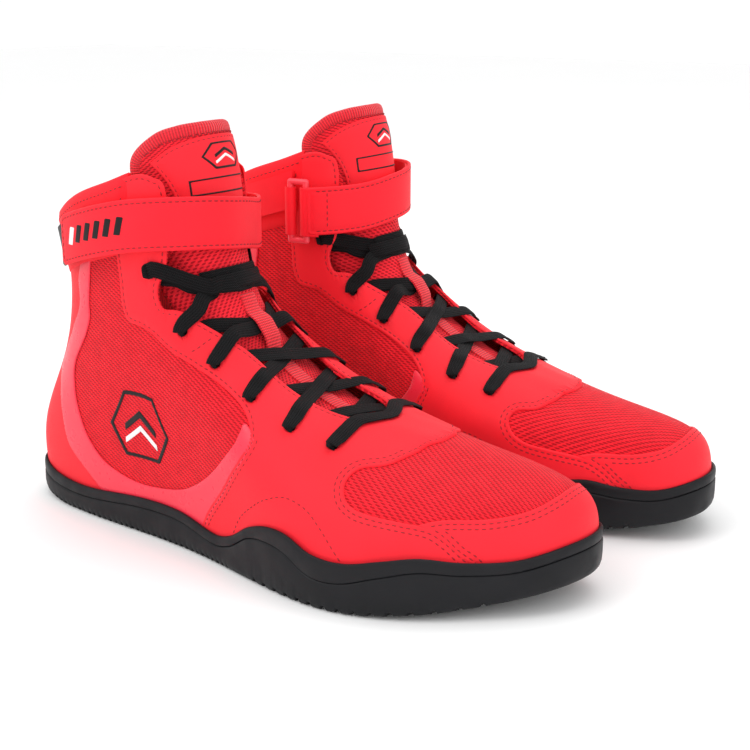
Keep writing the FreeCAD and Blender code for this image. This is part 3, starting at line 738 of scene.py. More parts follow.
RED = (0.95, 0.016, 0.03)
MATERIALS = {
    "microfibre": microfibre("red_microfibre", RED),
    "strap": microfibre("strap_microfibre", (0.95, 0.012, 0.027), 0.6),
    # the second colour of each mesh is painted shade for its holes
    "mesh": holed_mesh("side_mesh", (0.95, 0.013, 0.027), (0.46, 0.003, 0.01),
                       3.3, 1.05, (0.36, 0.27)),
    "tongue_mesh": holed_mesh("tongue_mesh", (0.95, 0.018, 0.034), (0.44, 0.004, 0.012),
                              2.3, 1.4, (0.32, 0.26)),
    "film": film("welded_film", (0.93, 0.032, 0.066)),
    "collar": microfibre("collar_cloth", (0.94, 0.009, 0.021), 0.7),
    "lining": knit("lining_knit", (0.85, 0.014, 0.028), 1.0, 0.12),
    "knit": knit("rib_knit", (0.93, 0.018, 0.034), 1.25, 0.35),
    "webbing": knit("keeper_webbing", (0.95, 0.02, 0.036), 1.4, 0.25),
    "rubber": rubber("sole_rubber_black", (0.006, 0.006, 0.0076)),
    "lace": braid("lace_braid", (0.0042, 0.0042, 0.0047)),
    # thread: the cloth's own red, darkened as painted shade from the stitch holes it sinks into
    "thread": yarn("red_thread_painted_shade", (0.36, 0.006, 0.014)),
    "black_print": rubber("black_print", (0.006, 0.0055, 0.006), 0.45),
    "white_print": film("white_print", (0.85, 0.84, 0.84)),
    "hook": tape("hook_tape", (0.012, 0.012, 0.013), 700),
    "loop": tape("loop_tape", (0.010, 0.010, 0.011), 1100),
    "plastic": film("ring_plastic", (0.9, 0.06, 0.09)),
    "board": fibre("fibre_board", (0.45, 0.4, 0.33)),
    "bed": knit("footbed_cloth", (0.02, 0.02, 0.022), 0.9, 0.1),
}


# ---------------------------------------------------------------- objects on both boots
def linked(name, data):
    item = bpy.data.objects.new(name, data)
    bpy.context.scene.collection.objects.link(item)
    return item


def wear(node, material):
    """Gives its material to a CAD node that is seen as it is, on both boots."""
    for side in SIDES:
        slots = frame["nodes"][side + "_" + node].data.materials
        slots.clear()
        slots.append(MATERIALS[material])


def piece(name, mesh, material, slot, body="boot", cloth=None, replaces=(), crease=50, blend=None):
    """Makes right_NAME and left_NAME from one solid in the right boot's millimetres."""
    verts, faces = mesh[:2]
    made = []
    for side in SIDES:
        order = faces if side == "right" else [tuple(reversed(face)) for face in faces]
        data = bpy.data.meshes.new(side + "_" + name)
        data.from_pydata(place(verts, side).tolist(), [], [list(map(int, face)) for face in order])
        data.materials.append(MATERIALS[material])
        data.shade_smooth()
        data.set_sharp_from_angle(angle=math.radians(crease))
        if cloth is not None:
            layer = data.uv_layers.new(name="cloth")
            index = np.empty(len(data.loops), int)
            data.loops.foreach_get("vertex_index", index)
            layer.data.foreach_set("uv", np.asarray(cloth, float)[index].astype(np.float32).ravel())
        item = linked(side + "_" + name, data)
        if blend:
            first, second, start, end = blend
            place(start, side)[0].tolist()
            place(end, side)[0].tolist()
            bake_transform(item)
        else:
            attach(item, side + "_" + body)
        if replaces:
            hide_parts(*[side + "_" + node for node in replaces])
        made.append(item)
    return made


def side_cloth(verts):
    """Cloth coordinates on the sides: along the foot, and up the wall."""
    lean = np.abs(verts[:, 1] - along(SWING, verts[:, 0]))
    return np.stack([verts[:, 0], verts[:, 2] + 0.35 * (40 - np.clip(lean, 0, 40))], -1)


def top_cloth(verts):
    """Cloth coordinates over the toes: along the foot, and round it."""
    centre = along(RIDGE, verts[:, 0])
    angle = np.arctan2(verts[:, 1] - centre, verts[:, 2] - 2)
    return np.stack([verts[:, 0], angle * 50], -1)


# ---------------------------------------------------------------- outlines of the upper, as (u, v)
def mirrored(points):
    return [(TURN - p[0], *p[1:]) for p in reversed(points)]


EYELETS = [(8.38, 2.95), (7.69, 3.0), (7.02, 3.1), (6.32, 3.15), (5.52, 3.05), (4.15, 3.05)]
# Front edge of the quarter where the lacing opens towards the ankle.
NOTCH = [(7.7, 3.97, 1), (7.0, 3.87), (6.4, 3.68), (5.9, 3.46), (5.5, 3.27), (5.2, 3.1), (4.9, 2.94),
         (4.68, 2.92), (4.6, 3.04), (4.82, 3.4), (4.79, 3.97, 1)]
# Outer quarter, toe part and heel of the mesh under the overlays.
QUARTER = [(1.5, 0.02, 1), (8.0, 0.02, 1), (8.0, 3.97, 1)] + NOTCH + [(1.5, 4.0, 1)]
VAMP = [(8.0, 0.02, 1), (16.0, 0.02, 1), (16.0, 4.0, 1), (8.0, 4.0, 1)]
HEEL = [(-1.5, 0.02, 1), (1.5, 0.02, 1), (1.5, 4.0, 1), (-1.5, 4.0, 1)]

# Rear edge of the eyestay, from the topline down to the sole.
STAY_REAR = [(3.05, 4.0, 1), (3.15, 3.4), (3.33, 2.88), (3.46, 2.56), (3.8, 2.42), (4.97, 2.55),
             (5.8, 2.77), (6.43, 2.9), (6.84, 2.82), (6.93, 2.5), (6.72, 2.08), (6.02, 1.21),
             (5.5, 0.6), (5.12, 0.02, 1)]
# Seam from the sole up round the toe mesh to the front of the lacing.
STAY_FRONT = [(10.1, 0.02, 1), (9.97, 0.51), (9.76, 0.8), (9.57, 1.15), (9.35, 1.42), (9.0, 1.56),
              (8.71, 1.65), (8.42, 1.76), (8.3, 1.97), (8.38, 2.3), (8.68, 2.58), (9.17, 2.74),
              (9.8, 3.08), (10.6, 3.36), (11.4, 3.42), (12.0, 3.43)]
THROAT = [(11.0, 3.98), (9.6, 3.98), (8.5, 3.98)] \
    + [(u, v + 0.015, *corner) for u, v, *corner in NOTCH[:-1]]
EAR = [(4.74, 3.98, 1), (4.5, 3.98), (4.05, 3.99), (3.6, 4.0)]


def eyestay_outline():
    one = STAY_REAR + STAY_FRONT[:-1]
    ring = one + [(12.0, 3.43)] + mirrored(one)
    inner = [(13.0, 3.97), (12.0, 3.97), (11.0, 3.97)]
    back = mirrored(THROAT[1:] + EAR[1:])
    return ring + back + inner + THROAT[1:] + EAR[1:]


# Toe guard, welded film strips, half of the heel cover, and two sewn lines on the eyestay.
TOE_TOP = [(9.0, 1.56), (9.13, 1.62), (9.55, 1.58), (10.13, 1.54), (10.64, 1.62), (11.3, 1.84),
           (12.0, 1.93)]
TOE_CAP = [(10.0, 0.02, 1), (9.86, 0.51), (9.66, 0.8), (9.47, 1.15), (9.3, 1.38), (9.2, 1.5, 1)] \
    + TOE_TOP[2:]
TOE_CAP_RING = TOE_CAP[:-1] + [(12.0, 1.93)] + mirrored(TOE_CAP[:-1])

FILM_OUTER = [(2.2, 3.2, 1), (2.1, 2.99), (2.15, 2.65), (1.8, 2.35), (1.32, 1.95), (1.55, 1.56),
              (1.8, 1.16), (2.0, 0.78), (2.4, 0.44), (2.9, 0.02, 1)]
FILM_INNER = [(5.6, 0.02, 1), (6.0, 0.6), (6.5, 1.21), (7.0, 2.1), (7.0, 2.5), (6.85, 2.62),
              (6.74, 2.42), (6.5, 2.05), (5.87, 1.39), (5.24, 0.9), (4.62, 0.63), (3.69, 0.5),
              (2.95, 0.62), (2.56, 0.89), (2.3, 1.22), (2.09, 1.6), (2.05, 1.92), (2.36, 2.25),
              (2.5, 2.48), (2.48, 2.7), (2.52, 3.2, 1)]
HEEL_HALF = [(2.95, 0.02, 1), (2.5, 0.44), (2.1, 0.78), (1.92, 1.16), (1.68, 1.56), (1.5, 1.95),
             (1.95, 2.35), (2.3, 2.65), (2.3, 3.2, 1)]
ARCH = [(6.05, 0.3), (6.3, 0.78), (6.7, 1.2), (7.05, 1.5), (7.39, 1.69), (7.68, 1.6), (7.87, 1.29),
        (8.04, 0.89), (8.2, 0.55)]
STAY_CROSS = [(6.25, 3.49), (5.93, 3.1), (5.66, 2.84)]


def eyelet_ring(u, v):
    """Round hole in the upper, as a closed (u, v) path."""
    facing = upper.normal(u, v)
    first = unit(np.cross(facing, [0, 0, 1.0]))
    second = np.cross(facing, first)
    ring = []
    for a in np.linspace(0, 2 * math.pi, 14, endpoint=False):
        direction = first * math.cos(a) + second * math.sin(a)
        ring.append(np.array([u, v]) + upper.shift(u, v, direction) * EYELET_RADIUS)
    return np.array(ring)


def both_sides(points):
    return [(u, v) for u, v in points] + [(TURN - u, v) for u, v in points]


# ---------------------------------------------------------------- upper
def make_upper():
    holes = [eyelet_ring(u, v) for u, v in both_sides(EYELETS)]
    for name, outline, cloth, node in (
            ("quarter_outer", QUARTER, side_cloth, "quarter_lateral"),
            ("quarter_inner", mirrored(QUARTER), side_cloth, "quarter_medial"),
            ("toe_mesh", VAMP, top_cloth, "vamp_mesh"),
            ("heel_back", HEEL, side_cloth, "heel_panel")):
        ring = loop(upper, outline, 2.5)
        own = [hole for hole in holes if within(hole, ring).all()]
        mesh = upper_plate([ring] + own, -BASE, 0, step=3.0, radius=0.5)
        piece(name, mesh, "mesh", "mesh", cloth=cloth(mesh[0]), replaces=[node])

    def two_rows(ring, first, second):
        return seam(upper, ring, FIRST_ROW, OVER_TOP - 0.1, keep=first) \
            + seam(upper, ring, SECOND_ROW, OVER_TOP + 0.05, keep=second)

    ring = loop(upper, eyestay_outline())
    piece("eyestay", upper_plate([ring] + holes, GAP, OVER_TOP, seams=(FIRST_ROW,)),
          "microfibre", "microfibre", replaces=["eyestay_lateral", "eyestay_medial"])
    sewn = two_rows(ring, lambda p: p[:, 1] > 0.25,
                    lambda p: (p[:, 1] > 0.25) & (p[:, 1] < 3.3)
                    & ((np.abs(p[:, 0] - TOE) < 3.9) | (p[:, 1] < 2.5)))
    for path in (ARCH, mirrored(ARCH), STAY_CROSS, mirrored(STAY_CROSS)):
        sewn += stitches(upper, line(upper, path), OVER_TOP + 0.05)
    piece("eyestay_stitching", joined(sewn), "thread", "microfibre")

    ring = loop(upper, TOE_CAP_RING)
    piece("toe_guard", upper_plate([ring], GAP, OVER_TOP, seams=(FIRST_ROW,)),
          "microfibre", "microfibre", replaces=["toe_cap"])
    sewn = two_rows(ring, *[lambda p: p[:, 1] > 0.5] * 2)
    piece("toe_guard_stitching", joined(sewn), "thread", "microfibre")

    ring = loop(upper, HEEL_HALF + [(-u, v, *corner) for u, v, *corner in reversed(HEEL_HALF)])
    piece("heel_cover_skin", upper_plate([ring], 0.02, OVER_TOP * 0.6), "microfibre", "microfibre",
          replaces=["heel_cover"])
    strip = FILM_OUTER + FILM_INNER
    for label, outline, node in (("outer", strip, "tpu_strip_lateral"),
                                 ("inner", mirrored(strip), "tpu_strip_medial")):
        mesh = upper_plate([loop(upper, outline)], 0.3, OVER_TOP - 0.12, radius=0.5, step=2.4)
        piece("film_" + label, mesh, "film", "tpu", replaces=[node])


make_upper()


# ---------------------------------------------------------------- sole and footbed
RIM = [(-15, 23), (0, 19.5), (20, 15.5), (45, 14.5), (85, 18), (112, 18), (138, 14), (150, 17),
       (163, 25), (176, 29), (188, 29), (202, 24), (218, 23), (234, 26), (248, 28), (263, 26),
       (280, 26), (298, 31), (315, 34)]
GROOVE_DROP = [(-15, 6.5), (0, 6), (60, 5), (160, 5), (180, 7.5), (203, 10), (230, 7.5), (260, 5.5),
               (315, 5)]
SOLE_FLOOR, TOE_SPRING, SPRING_START = 7.0, 13.0, 205
FLOOR_RISE = 0.6        # the drawn floor lies this much above the CAD floor
HEEL_TREAD, FORE_TREAD = (4.0, 148), (7.0, 165)     # groove pitch, and where each tread ends or starts


def spring(x):
    return TOE_SPRING * (np.maximum(0, x - SPRING_START) / 95) ** 2


def sole_lift(x):
    return spring(x) + 3 * (np.maximum(0, 30 - x) / 30) ** 2


def tread(x, y):
    """How deep the tread is cut at a place under the sole."""
    wave = x + 2.2 * np.cos(y / 9)
    heel = (np.mod(wave, HEEL_TREAD[0]) < 1.3) & (x < HEEL_TREAD[1]) & (x > 12)
    fore = (np.mod(wave, FORE_TREAD[0]) < 2.0) & (x > FORE_TREAD[1]) & (x < 272)
    return np.where(heel, 1.3, 0) + np.where(fore, 1.6, 0)


def plan(u, offset):
    """Plan of the upper's lower edge, moved outwards."""
    ahead, behind, here = upper.at(u + 0.1, 0), upper.at(u - 0.1, 0), upper.at(u, 0)
    run = unit((ahead - behind)[..., :2])
    return here[..., :2] + np.stack([run[..., 1], -run[..., 0]], -1) * offset


class Flat:
    """A level plane, for filling outlines drawn in plan."""

    def at(self, u, v):
        return np.stack([u, v, 0 * np.asarray(u, float)], -1)

    def normal(self, u, v):
        return np.stack([0 * u, 0 * u, 0 * u + 1], -1)

    def shift(self, u, v, direction):
        return np.asarray(direction)[..., :2]


flat = Flat()
PLAN_CELL = (1.0, 1.0)


def make_sole():
    u = np.linspace(0, TURN, 1100, endpoint=False)
    # section of the wall, from the floor inside to the tread: how far out, above what, how high
    profile = [(1.3, "floor", FLOOR_RISE), (1.3, "top", -2.0), (1.35, "top", -0.7), (1.7, "top", -0.15),
               (2.3, "top", 0.0), (2.95, "top", -0.3), (3.35, "top", -1.0), (3.5, "top", -2.2),
               (3.45, "groove", 1.0), (3.25, "groove", 0.4), (2.6, "groove", 0.0),
               (3.2, "groove", -0.45), (3.52, "groove", -1.2), (3.58, "middle", 0), (3.35, "low", 3.2),
               (2.8, "low", 1.4), (2.0, "low", 0.4), (1.0, "low", 0.0)]
    rings = []
    for offset, anchor, rise in profile:
        ground = plan(u, offset)
        x, y = ground.T
        top, low = along(RIM, x), sole_lift(x)
        groove = top - along(GROOVE_DROP, x)
        level = {"floor": SOLE_FLOOR + spring(x), "top": top, "groove": groove, "low": low,
                 "middle": (groove + low) / 2}[anchor]
        z = level + rise
        if anchor == "low":
            z = z + tread(x, y) * (1 - rise / 4.5)
        rings.append(np.stack([x, y, z], -1))
    verts, faces = tube_rings(rings, closed_ends=False)
    parts = [(verts, [tuple(reversed(f)) for f in faces])]
    for ring, step, floor in ((rings[-1], 1.3, False), (rings[0], 7.0, True)):
        uv, inner = fill(flat, [ring[:, :2]], step, (), PLAN_CELL)
        x, y = uv.T
        z = SOLE_FLOOR + FLOOR_RISE + spring(x) if floor else sole_lift(x) + tread(x, y)
        outward = flat.normal(x, y) * (1 if floor else -1)
        parts.append((np.column_stack([uv, z]), turned(inner, flat.at(x, y), outward).tolist()))
    piece("sole", welded(joined(parts)), "rubber", "sole_rubber", replaces=["outsole"], crease=35)


def welded(mesh):
    """The mesh with points in the same place made one."""
    verts, faces = mesh
    _, first, index = np.unique(np.round(verts, 4), axis=0, return_index=True, return_inverse=True)
    index = index.ravel()
    out = []
    for face in faces:
        ring = [int(index[i]) for i in face]
        ring = [a for k, a in enumerate(ring) if a != ring[k - 1]]
        if len(ring) > 2:
            out.append(tuple(ring))
    return verts[first], out


def make_footbed():
    def profile(uv, gap):
        low = SOLE_FLOOR + 2.75 + spring(uv[:, 0])
        return low + 1.2 + 2.6 * rolled(gap, 1.6) + 2.0 * np.exp(-(gap / 9) ** 2), low
    ring = plan(np.linspace(0, TURN, 220, endpoint=False), -2.4)
    mesh = shell(flat, [ring], [0.5, 1.4, 3.0, 6.0], profile, 4.0, PLAN_CELL)
    for item in piece("footbed_foam", mesh, "bed", "footbed_foam", cloth=mesh[0][:, :2],
                      replaces=["footbed"]):
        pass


# ---------------------------------------------------------------- collar and lining
def make_collar():
    # section of the roll, from the outside over the topline to the inside: v, and mm off the upper
    section = [(3.16, 0.1), (3.18, 1.1), (3.3, 1.75), (3.55, 2.15), (3.8, 2.15), (3.93, 1.75),
               (4.01, 0.9), (4.04, -0.3), (4.02, -1.6), (3.94, -2.8), (3.8, -3.5), (3.55, -3.75),
               (3.3, -3.6), (3.28, -1.5), (3.7, -1.35), (3.7, -0.05), (3.3, 0.02)]
    reach = 3.45
    rings = []
    for u in np.linspace(-reach, reach, 130):
        level, height = np.array(section).T
        pinch = 0.5 * math.exp(-((reach - abs(u)) / 0.12) ** 2)
        height = np.where(height > 0.2, 0.2 + (height - 0.2) * (1 - pinch), height)
        rings.append(upper.off(np.full(len(level), u), level, height))
    verts, faces = tube_rings(rings)
    cloth = np.array([(a, b * 3.0) for a in travel([r[4] for r in rings]) for b in range(len(section))])
    for item in piece("collar_pad", (verts, [tuple(reversed(f)) for f in faces]), "collar", "lining",
                      cloth=cloth, replaces=["collar"]):
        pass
    top_row = np.array([(u, 3.91) for u in np.linspace(-reach + 0.05, reach - 0.05, 300)])
    sewn = stitches(upper, top_row, 1.86)
    for end in (0.12 - reach, reach - 0.12):
        sewn += stitches(upper, np.array([(end, v) for v in np.linspace(3.3, 3.84, 40)]), 1.95)
    piece("collar_stitching", joined(sewn), "thread", "lining")
    ring = loop(upper, [(-3.3, 1.35, 1), (3.3, 1.35, 1), (3.3, 3.9, 1), (-3.3, 3.9, 1)], 3)
    mesh = upper_plate([ring], -BASE - 2.3, -BASE - 0.25, step=4, radius=1.5)
    piece("ankle_pad", mesh, "lining", "lining", cloth=side_cloth(mesh[0]), replaces=["ankle_lining"])


# ---------------------------------------------------------------- tongue
TONGUE_CELL = (25.0, 9.0)
TONGUE_CLOTH = np.array([25.0, 8.5])    # mm of cloth along and across the tongue
FLEX = ("boot", "tongue", (119.5, 0.0, 156.0), (116.0, 0.0, 170.0))


def tongue_edge(col):
    """Row where the tongue ends, rounded off towards its two sides."""
    side = np.abs(col / 4 - 1)
    return TONGUE_TOP + 0.25 * side ** 2 - side ** 5


def make_tongue():
    cols = np.linspace(0.25, 7.75, 9)
    top_edge = [(float(tongue_edge(c)), float(c)) for c in cols[::-1]]

    def profile(uv, gap):
        reach = PAD / 2 * rolled(gap + 0.3, 4.0)
        return reach - PAD / 2, -PAD / 2 - reach
    ring = loop(tongue, [(0.15, 0.3, 1), (0.15, 7.7, 1), (3.0, 7.85), (5.0, 7.9)] + top_edge
                + [(5.0, 0.1), (3.0, 0.15)], 2.0)
    mesh = shell(tongue, [ring], [0.5, 1.3, 2.4, 4.0], profile, 2.6, TONGUE_CELL)
    for item in piece("tongue_pad", mesh, "tongue_mesh", "tongue_cloth", blend=FLEX,
                      cloth=mesh[2][:, ::-1] * TONGUE_CLOTH[::-1], replaces=["tongue_lower", "tongue_top"]):
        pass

    # knitted binding: an oval roll along the top edge and a little down each side
    path = line(tongue, [(5.9, 7.88), (6.3, 7.88)] + top_edge + [(6.3, 0.12), (5.9, 0.12)], 1.2)
    here, facing = tongue.off(*path.T, -PAD / 2), tongue.normal(*path.T)
    outward = np.cross(facing, unit(np.gradient(here, axis=0)))
    count = len(path)
    if outward[count // 2][2] < 0:
        outward = -outward
    from_end = np.minimum(np.arange(count), count - 1 - np.arange(count))
    rings, _, turns = oval(here, outward, facing, np.full(count, 3.5),
                           2.75 * np.minimum(1, 0.3 + from_end / 8), 0.8, 16, -0.5)
    cloth = np.stack([np.repeat(travel(here), len(turns)), np.tile(turns * 2.5, count)], -1)
    piece("tongue_binding_knit", tube_rings(rings), "knit", "binding", cloth=cloth,
          replaces=["tongue_binding"], blend=FLEX)

    ring = loop(tongue, [(5.25, 1.7, 1), (5.25, 6.3, 1), (6.0, 6.45), (6.5, 6.75), (6.98, 7.2, 1),
                         (7.26, 6.4), (7.38, 5.4), (7.4, 4.0), (7.38, 2.6), (7.26, 1.6), (6.98, 0.8, 1),
                         (6.5, 1.25), (6.0, 1.55)], 1.2)
    piece("tongue_badge", plate(tongue, [ring], 0.0, 0.75, TONGUE_CELL, seams=(1.6,)),
          "microfibre", "patch", replaces=["tongue_patch"], blend=FLEX)
    sewn = seam(tongue, ring, 1.6, 0.62, pitch=2.6, length=1.8, width=0.5)
    zigzag = [(float(tongue_edge(c)) - (0.17 if k % 2 else 0.27), float(c))
              for k, c in enumerate(np.linspace(0.6, 7.4, 47))]
    for ends in zip(zigzag, zigzag[1:]):
        sewn += stitches(tongue, np.array(ends), 0.35, pitch=2.2, length=1.6, width=0.5)
    piece("tongue_stitching", joined(sewn), "thread", "patch", blend=FLEX)

    keeper = loop(tongue, [(0.9, 3.45, 1), (0.9, 4.55, 1), (4.3, 4.55, 1), (4.3, 3.45, 1)], 1.2)
    mesh = plate(tongue, [keeper], 0.0, 1.0, TONGUE_CELL, lift=keeper_rise)
    piece("keeper_webbing", mesh, "webbing", "microfibre", cloth=mesh[2] * TONGUE_CLOTH,
          replaces=["lace_keeper"])


def keeper_rise(uv):
    """The keeper stands up where two laces pass under it."""
    return 4.0 * np.exp(-((uv[:, 0] - 3.5) / 0.36) ** 4)


# ---------------------------------------------------------------- strap
STRAP_CELL = (13.0, 12.0)
PEEL = ("strap_front", "strap_end", (121.0, -23.0, 151.0), (110.0, -33.0, 151.0))
HALF = STRAP_THICK / 2
FOLD_RADIUS = 2.55


def make_strap():
    def profile(uv, gap):
        reach = HALF * (EDGE_SHARE + (1 - EDGE_SHARE) * rolled(gap, 0.8))
        return reach - 0.22 * np.exp(-((gap - FIRST_ROW) / 0.4) ** 2), -reach
    ring = loop(strap, [(0.1, 0.0, 1), (0.1, 2.0, 1), (12.4, 2.0, 1), (12.54, 1.93, 1), (12.6, 1.75, 1),
                        (12.6, 0.25, 1), (12.54, 0.07, 1), (12.4, 0.0, 1)], 1.3)
    mesh = shell(strap, [ring], [0.3, 0.8, 1.4, 2.0, 2.6], profile, 2.4, STRAP_CELL)
    piece("strap_band", mesh, "strap", "strap", replaces=["strap_front", "strap_end"], blend=PEEL)
    sewn = seam(strap, ring, FIRST_ROW, HALF - 0.02, keep=lambda p: p[:, 0] > 0.5)
    sewn += stitches(strap, np.array([(1.15, v) for v in np.linspace(0.2, 1.8, 30)]), HALF + 0.02)
    piece("strap_stitching", joined(sewn), "thread", "strap", blend=PEEL)

    base_high = -HALF - RING_PLAY
    ring = loop(strap, [(0.75, 0.08, 1), (0.75, 1.92, 1), (10.6, 1.92, 1), (10.6, 0.08, 1)], 1.5)
    piece("strap_under_layer", plate(strap, [ring], base_high - STRAP_WALL, base_high, STRAP_CELL),
          "strap", "strap", replaces=["strap_base"])
    ring = loop(strap, [(10.9, 0.14, 1), (10.9, 1.86, 1), (12.4, 1.96, 1), (12.9, 1.98, 1),
                        (12.98, 1.85, 1), (12.98, 0.15, 1), (12.9, 0.02, 1), (12.4, 0.04, 1)], 1.2)
    piece("hook_tape", plate(strap, [ring], -HALF - 0.9, -HALF + 0.05, STRAP_CELL), "hook", "hook_tape",
          body="strap_end", replaces=["hook_patch"])
    ring = loop(upper, [(-1.2, 3.3, 1), (1.0, 3.28), (3.3, 3.18, 1), (3.3, 3.67, 1), (1.0, 3.83),
                        (-1.2, 3.87, 1)], 1.5)
    piece("loop_tape", upper_plate([ring], 2.3, 3.3, radius=0.5), "loop", "loop_tape",
          replaces=["loop_band"])

    # fold round the ring's front bar
    turn = np.radians(np.linspace(62, 300, 30))
    wrap = np.stack([RING_FRONT + FOLD_RADIUS * np.cos(turn),
                     RING_HINGE[1] + FOLD_RADIUS * np.sin(turn)], -1)
    lead = strap.at([0.7, 0.3], [1.0, 1.0])[:, :2]
    piece("strap_fold", band(np.concatenate([lead, wrap]), 0.62), "strap", "strap", body="strap_front")


def band(path, half_thick):
    """Upright band as wide as the strap, that follows a plan path at the ring's height."""
    run = unit(np.gradient(path, axis=0))
    side = np.stack([-run[:, 1], run[:, 0]], -1)
    section = ((-1, -1), (-0.6, -1.02), (0.6, -1.02), (1, -1), (1, -0.96), (1, 0.96), (1, 1),
               (0.6, 1.02), (-0.6, 1.02), (-1, 1), (-1, 0.96), (-1, -0.96))
    rings = [np.array([(*(p + q * half_thick * a), RING_HEIGHT + STRAP_WIDTH / 2 * b) for a, b in section])
             for p, q in zip(path, side)]
    return outward_faces(*tube_rings(rings))


def outward_faces(verts, faces):
    """The same solid with its faces turned outwards."""
    volume = 0
    for face in faces:
        p = verts[list(face)]
        for k in range(1, len(p) - 1):
            volume += np.dot(p[0], np.cross(p[k], p[k + 1]))
    return verts, faces if volume > 0 else [tuple(reversed(f)) for f in faces]


# ---------------------------------------------------------------- lace
def station_on(side, index):
    """(u, v) of an eyelet; side is -1 on the outer side and 1 on the inner one."""
    station, level = EYELETS[index]
    return (station if side < 0 else TURN - station), level


OVER_LACE = OVER_TOP + LACE_THICK / 2 + 0.5
UNDER = -BASE - LACE_THICK / 2 - 0.5
TAIL_ROW = 4.7


def stop(net, u, v, height, width=LACE_WIDTH):
    """A place the lace passes, off a net: the point, where its flat side faces, and its width."""
    return net.off(u, v, height), net.normal(u, v), width


def on_upper(point, side, index, height, width=LACE_WIDTH):
    """The stop off the upper that is nearest to a point, and its v."""
    u, v = upper.nearest(point, *station_on(side, index))
    return stop(upper, u, v, height, width), v


def through(side, index):
    """Stops up through an eyelet, from under the upper to outside it."""
    u, v = station_on(side, index)
    toward = unit(upper.at(*station_on(-side, index)) - upper.at(u, v))
    low, high = (upper.off(u, v, h) for h in (UNDER + 0.9, OVER_LACE - 0.55))
    leaning = unit(upper.normal(u, v) + toward * 0.5)
    return [(low, toward, LACE_SLIM), (high - toward * 2.2, leaning, LACE_WIDTH * 0.74)]


def cross_run(side, index, lift):
    """Stops from one eyelet across the tongue to under the opposite edge's next eyelet."""
    first = index == 0
    a, b = upper.at(*station_on(side, index)), upper.at(*station_on(-side, index + 1))
    stops = []
    for share in (0.08, 0.18, 0.28):
        found, level = on_upper(a + (b - a) * share, side, index, UNDER if first else OVER_LACE)
        if first or level < 4.05:
            stops.append(found)
    rise = lift + (0 if index > 2 else 1.2 if first else 1.6)
    for share in (0.42, 0.5, 0.58):
        row, column = tongue.nearest(a + (b - a) * share, max(5.5 - index, 1), 4)
        stops.append(stop(tongue, min(row, TAIL_ROW), column, rise))
    for share, width in ((0.76, LACE_WIDTH), (0.86, LACE_WIDTH), (0.94, LACE_SLIM * 1.3)):
        stops.append(on_upper(a + (b - a) * share, -side, index + 1, UNDER, width)[0])
    return stops


def bottom_bar():
    """Stops from the outer bottom eyelet over the foot of the tongue to the inner one."""
    (ua, va), (ub, vb) = station_on(-1, 0), station_on(1, 0)
    a, b = upper.at(ua, va), upper.at(ub, vb)
    stops = []
    for share in (0.06, 0.15, 0.27, 0.4, 0.5, 0.6, 0.73, 0.85, 0.94):
        chord = a + (b - a) * share + np.array([0, 0, 5 * math.sin(math.pi * share)])
        guess = ua + (TOE - ua) * min(share, 1 - share) * 2
        u, v = upper.nearest(chord, guess if share <= 0.5 else TURN - guess, 3.5)
        stops.append(stop(upper, u, min(v, 3.97), OVER_LACE))
    return stops


def tail(side, lift):
    """From the top eyelet across the ankle, tucked in behind the opposite edge."""
    last = len(EYELETS) - 1
    a, b = upper.at(*station_on(side, last)), upper.at(*station_on(-side, last))
    stops = [on_upper(a + (b - a) * share, side, last, OVER_LACE)[0] for share in (0.06, 0.14, 0.21)]
    for share in (0.34, 0.42, 0.5, 0.58, 0.7):
        _, column = tongue.nearest(a + (b - a) * share + np.array([12.0, 0, 0]), TAIL_ROW, 4)
        stops.append(stop(tongue, TAIL_ROW - 0.06 * (1 - side), column, lift))
    return stops


def lace_stops():
    """The whole way, from one tucked end through every eyelet to the other."""
    halves = []
    for side, lift in ((-1, 0.9), (1, 2.3)):
        stops, now = [], side
        for index in range(len(EYELETS) - 1):
            stops += cross_run(now, index, lift) + through(-now, index + 1)
            now = -now
        halves.append(stops + tail(now, lift + 0.2))
    return halves[0][::-1] + through(-1, 0) + bottom_bar() + through(1, 0)[::-1] + halves[1]


def make_lace():
    centre, facing, width = (np.array(values) for values in zip(*lace_stops()))
    last = len(centre) - 1
    c, f, w = [], [], []
    for k in range(last):
        four = [centre[i] for i in (max(k - 1, 0), k, k + 1, min(k + 2, last))]
        gap = np.linalg.norm(four[2] - four[1])
        for t in np.linspace(0, 1, max(2, int(gap / 1.1)), endpoint=False):
            c.append(bend(*four, t))
            f.append(facing[k] * (1 - t) + facing[k + 1] * t)
            w.append(width[k] * (1 - t) + width[k + 1] * t)
    c, f, w = np.array(c), np.array(f), np.array(w)
    run = unit(np.gradient(c, axis=0))
    side = unit(np.cross(run, f))
    for k in range(1, len(side)):
        if dot(side[k], side[k - 1]) < 0:
            side[k] = -side[k]
    length = travel(c)
    thick = LACE_THICK / 2 * np.minimum(1.5, LACE_WIDTH / w) ** 0.5
    rings, across, turns = oval(c, side, unit(np.cross(side, run)), w / 2, thick, 0.55, 18)
    cloth = np.stack([np.repeat(length, len(turns)), (across * (LACE_WIDTH / w)[:, None]).ravel()], -1)
    piece("lace_flat", outward_faces(*tube_rings(rings)), "lace", "lace", cloth=cloth, replaces=["lace"])
    print("lace length", round(length[-1]), "mm")


# ---------------------------------------------------------------- printed marks
def mark(net, centre, corners):
    """Closed (u, v) path from corners in mm about a place on a net, along the foot and up."""
    facing = net.normal(*centre)
    right = unit(np.cross([0, 0, 1.0], facing))
    across, up = net.shift(*centre, right), net.shift(*centre, np.cross(facing, right))
    ring = [np.array(centre) + across * x + up * y for x, y in corners]
    return even(net, smooth_path([(*p, 1) for p in ring], True), 0.9, True)


def hexagon(wide, tall):
    return [(-wide, 0), (-wide * 0.55, tall), (wide * 0.55, tall), (wide, 0), (wide * 0.55, -tall),
            (-wide * 0.55, -tall)]


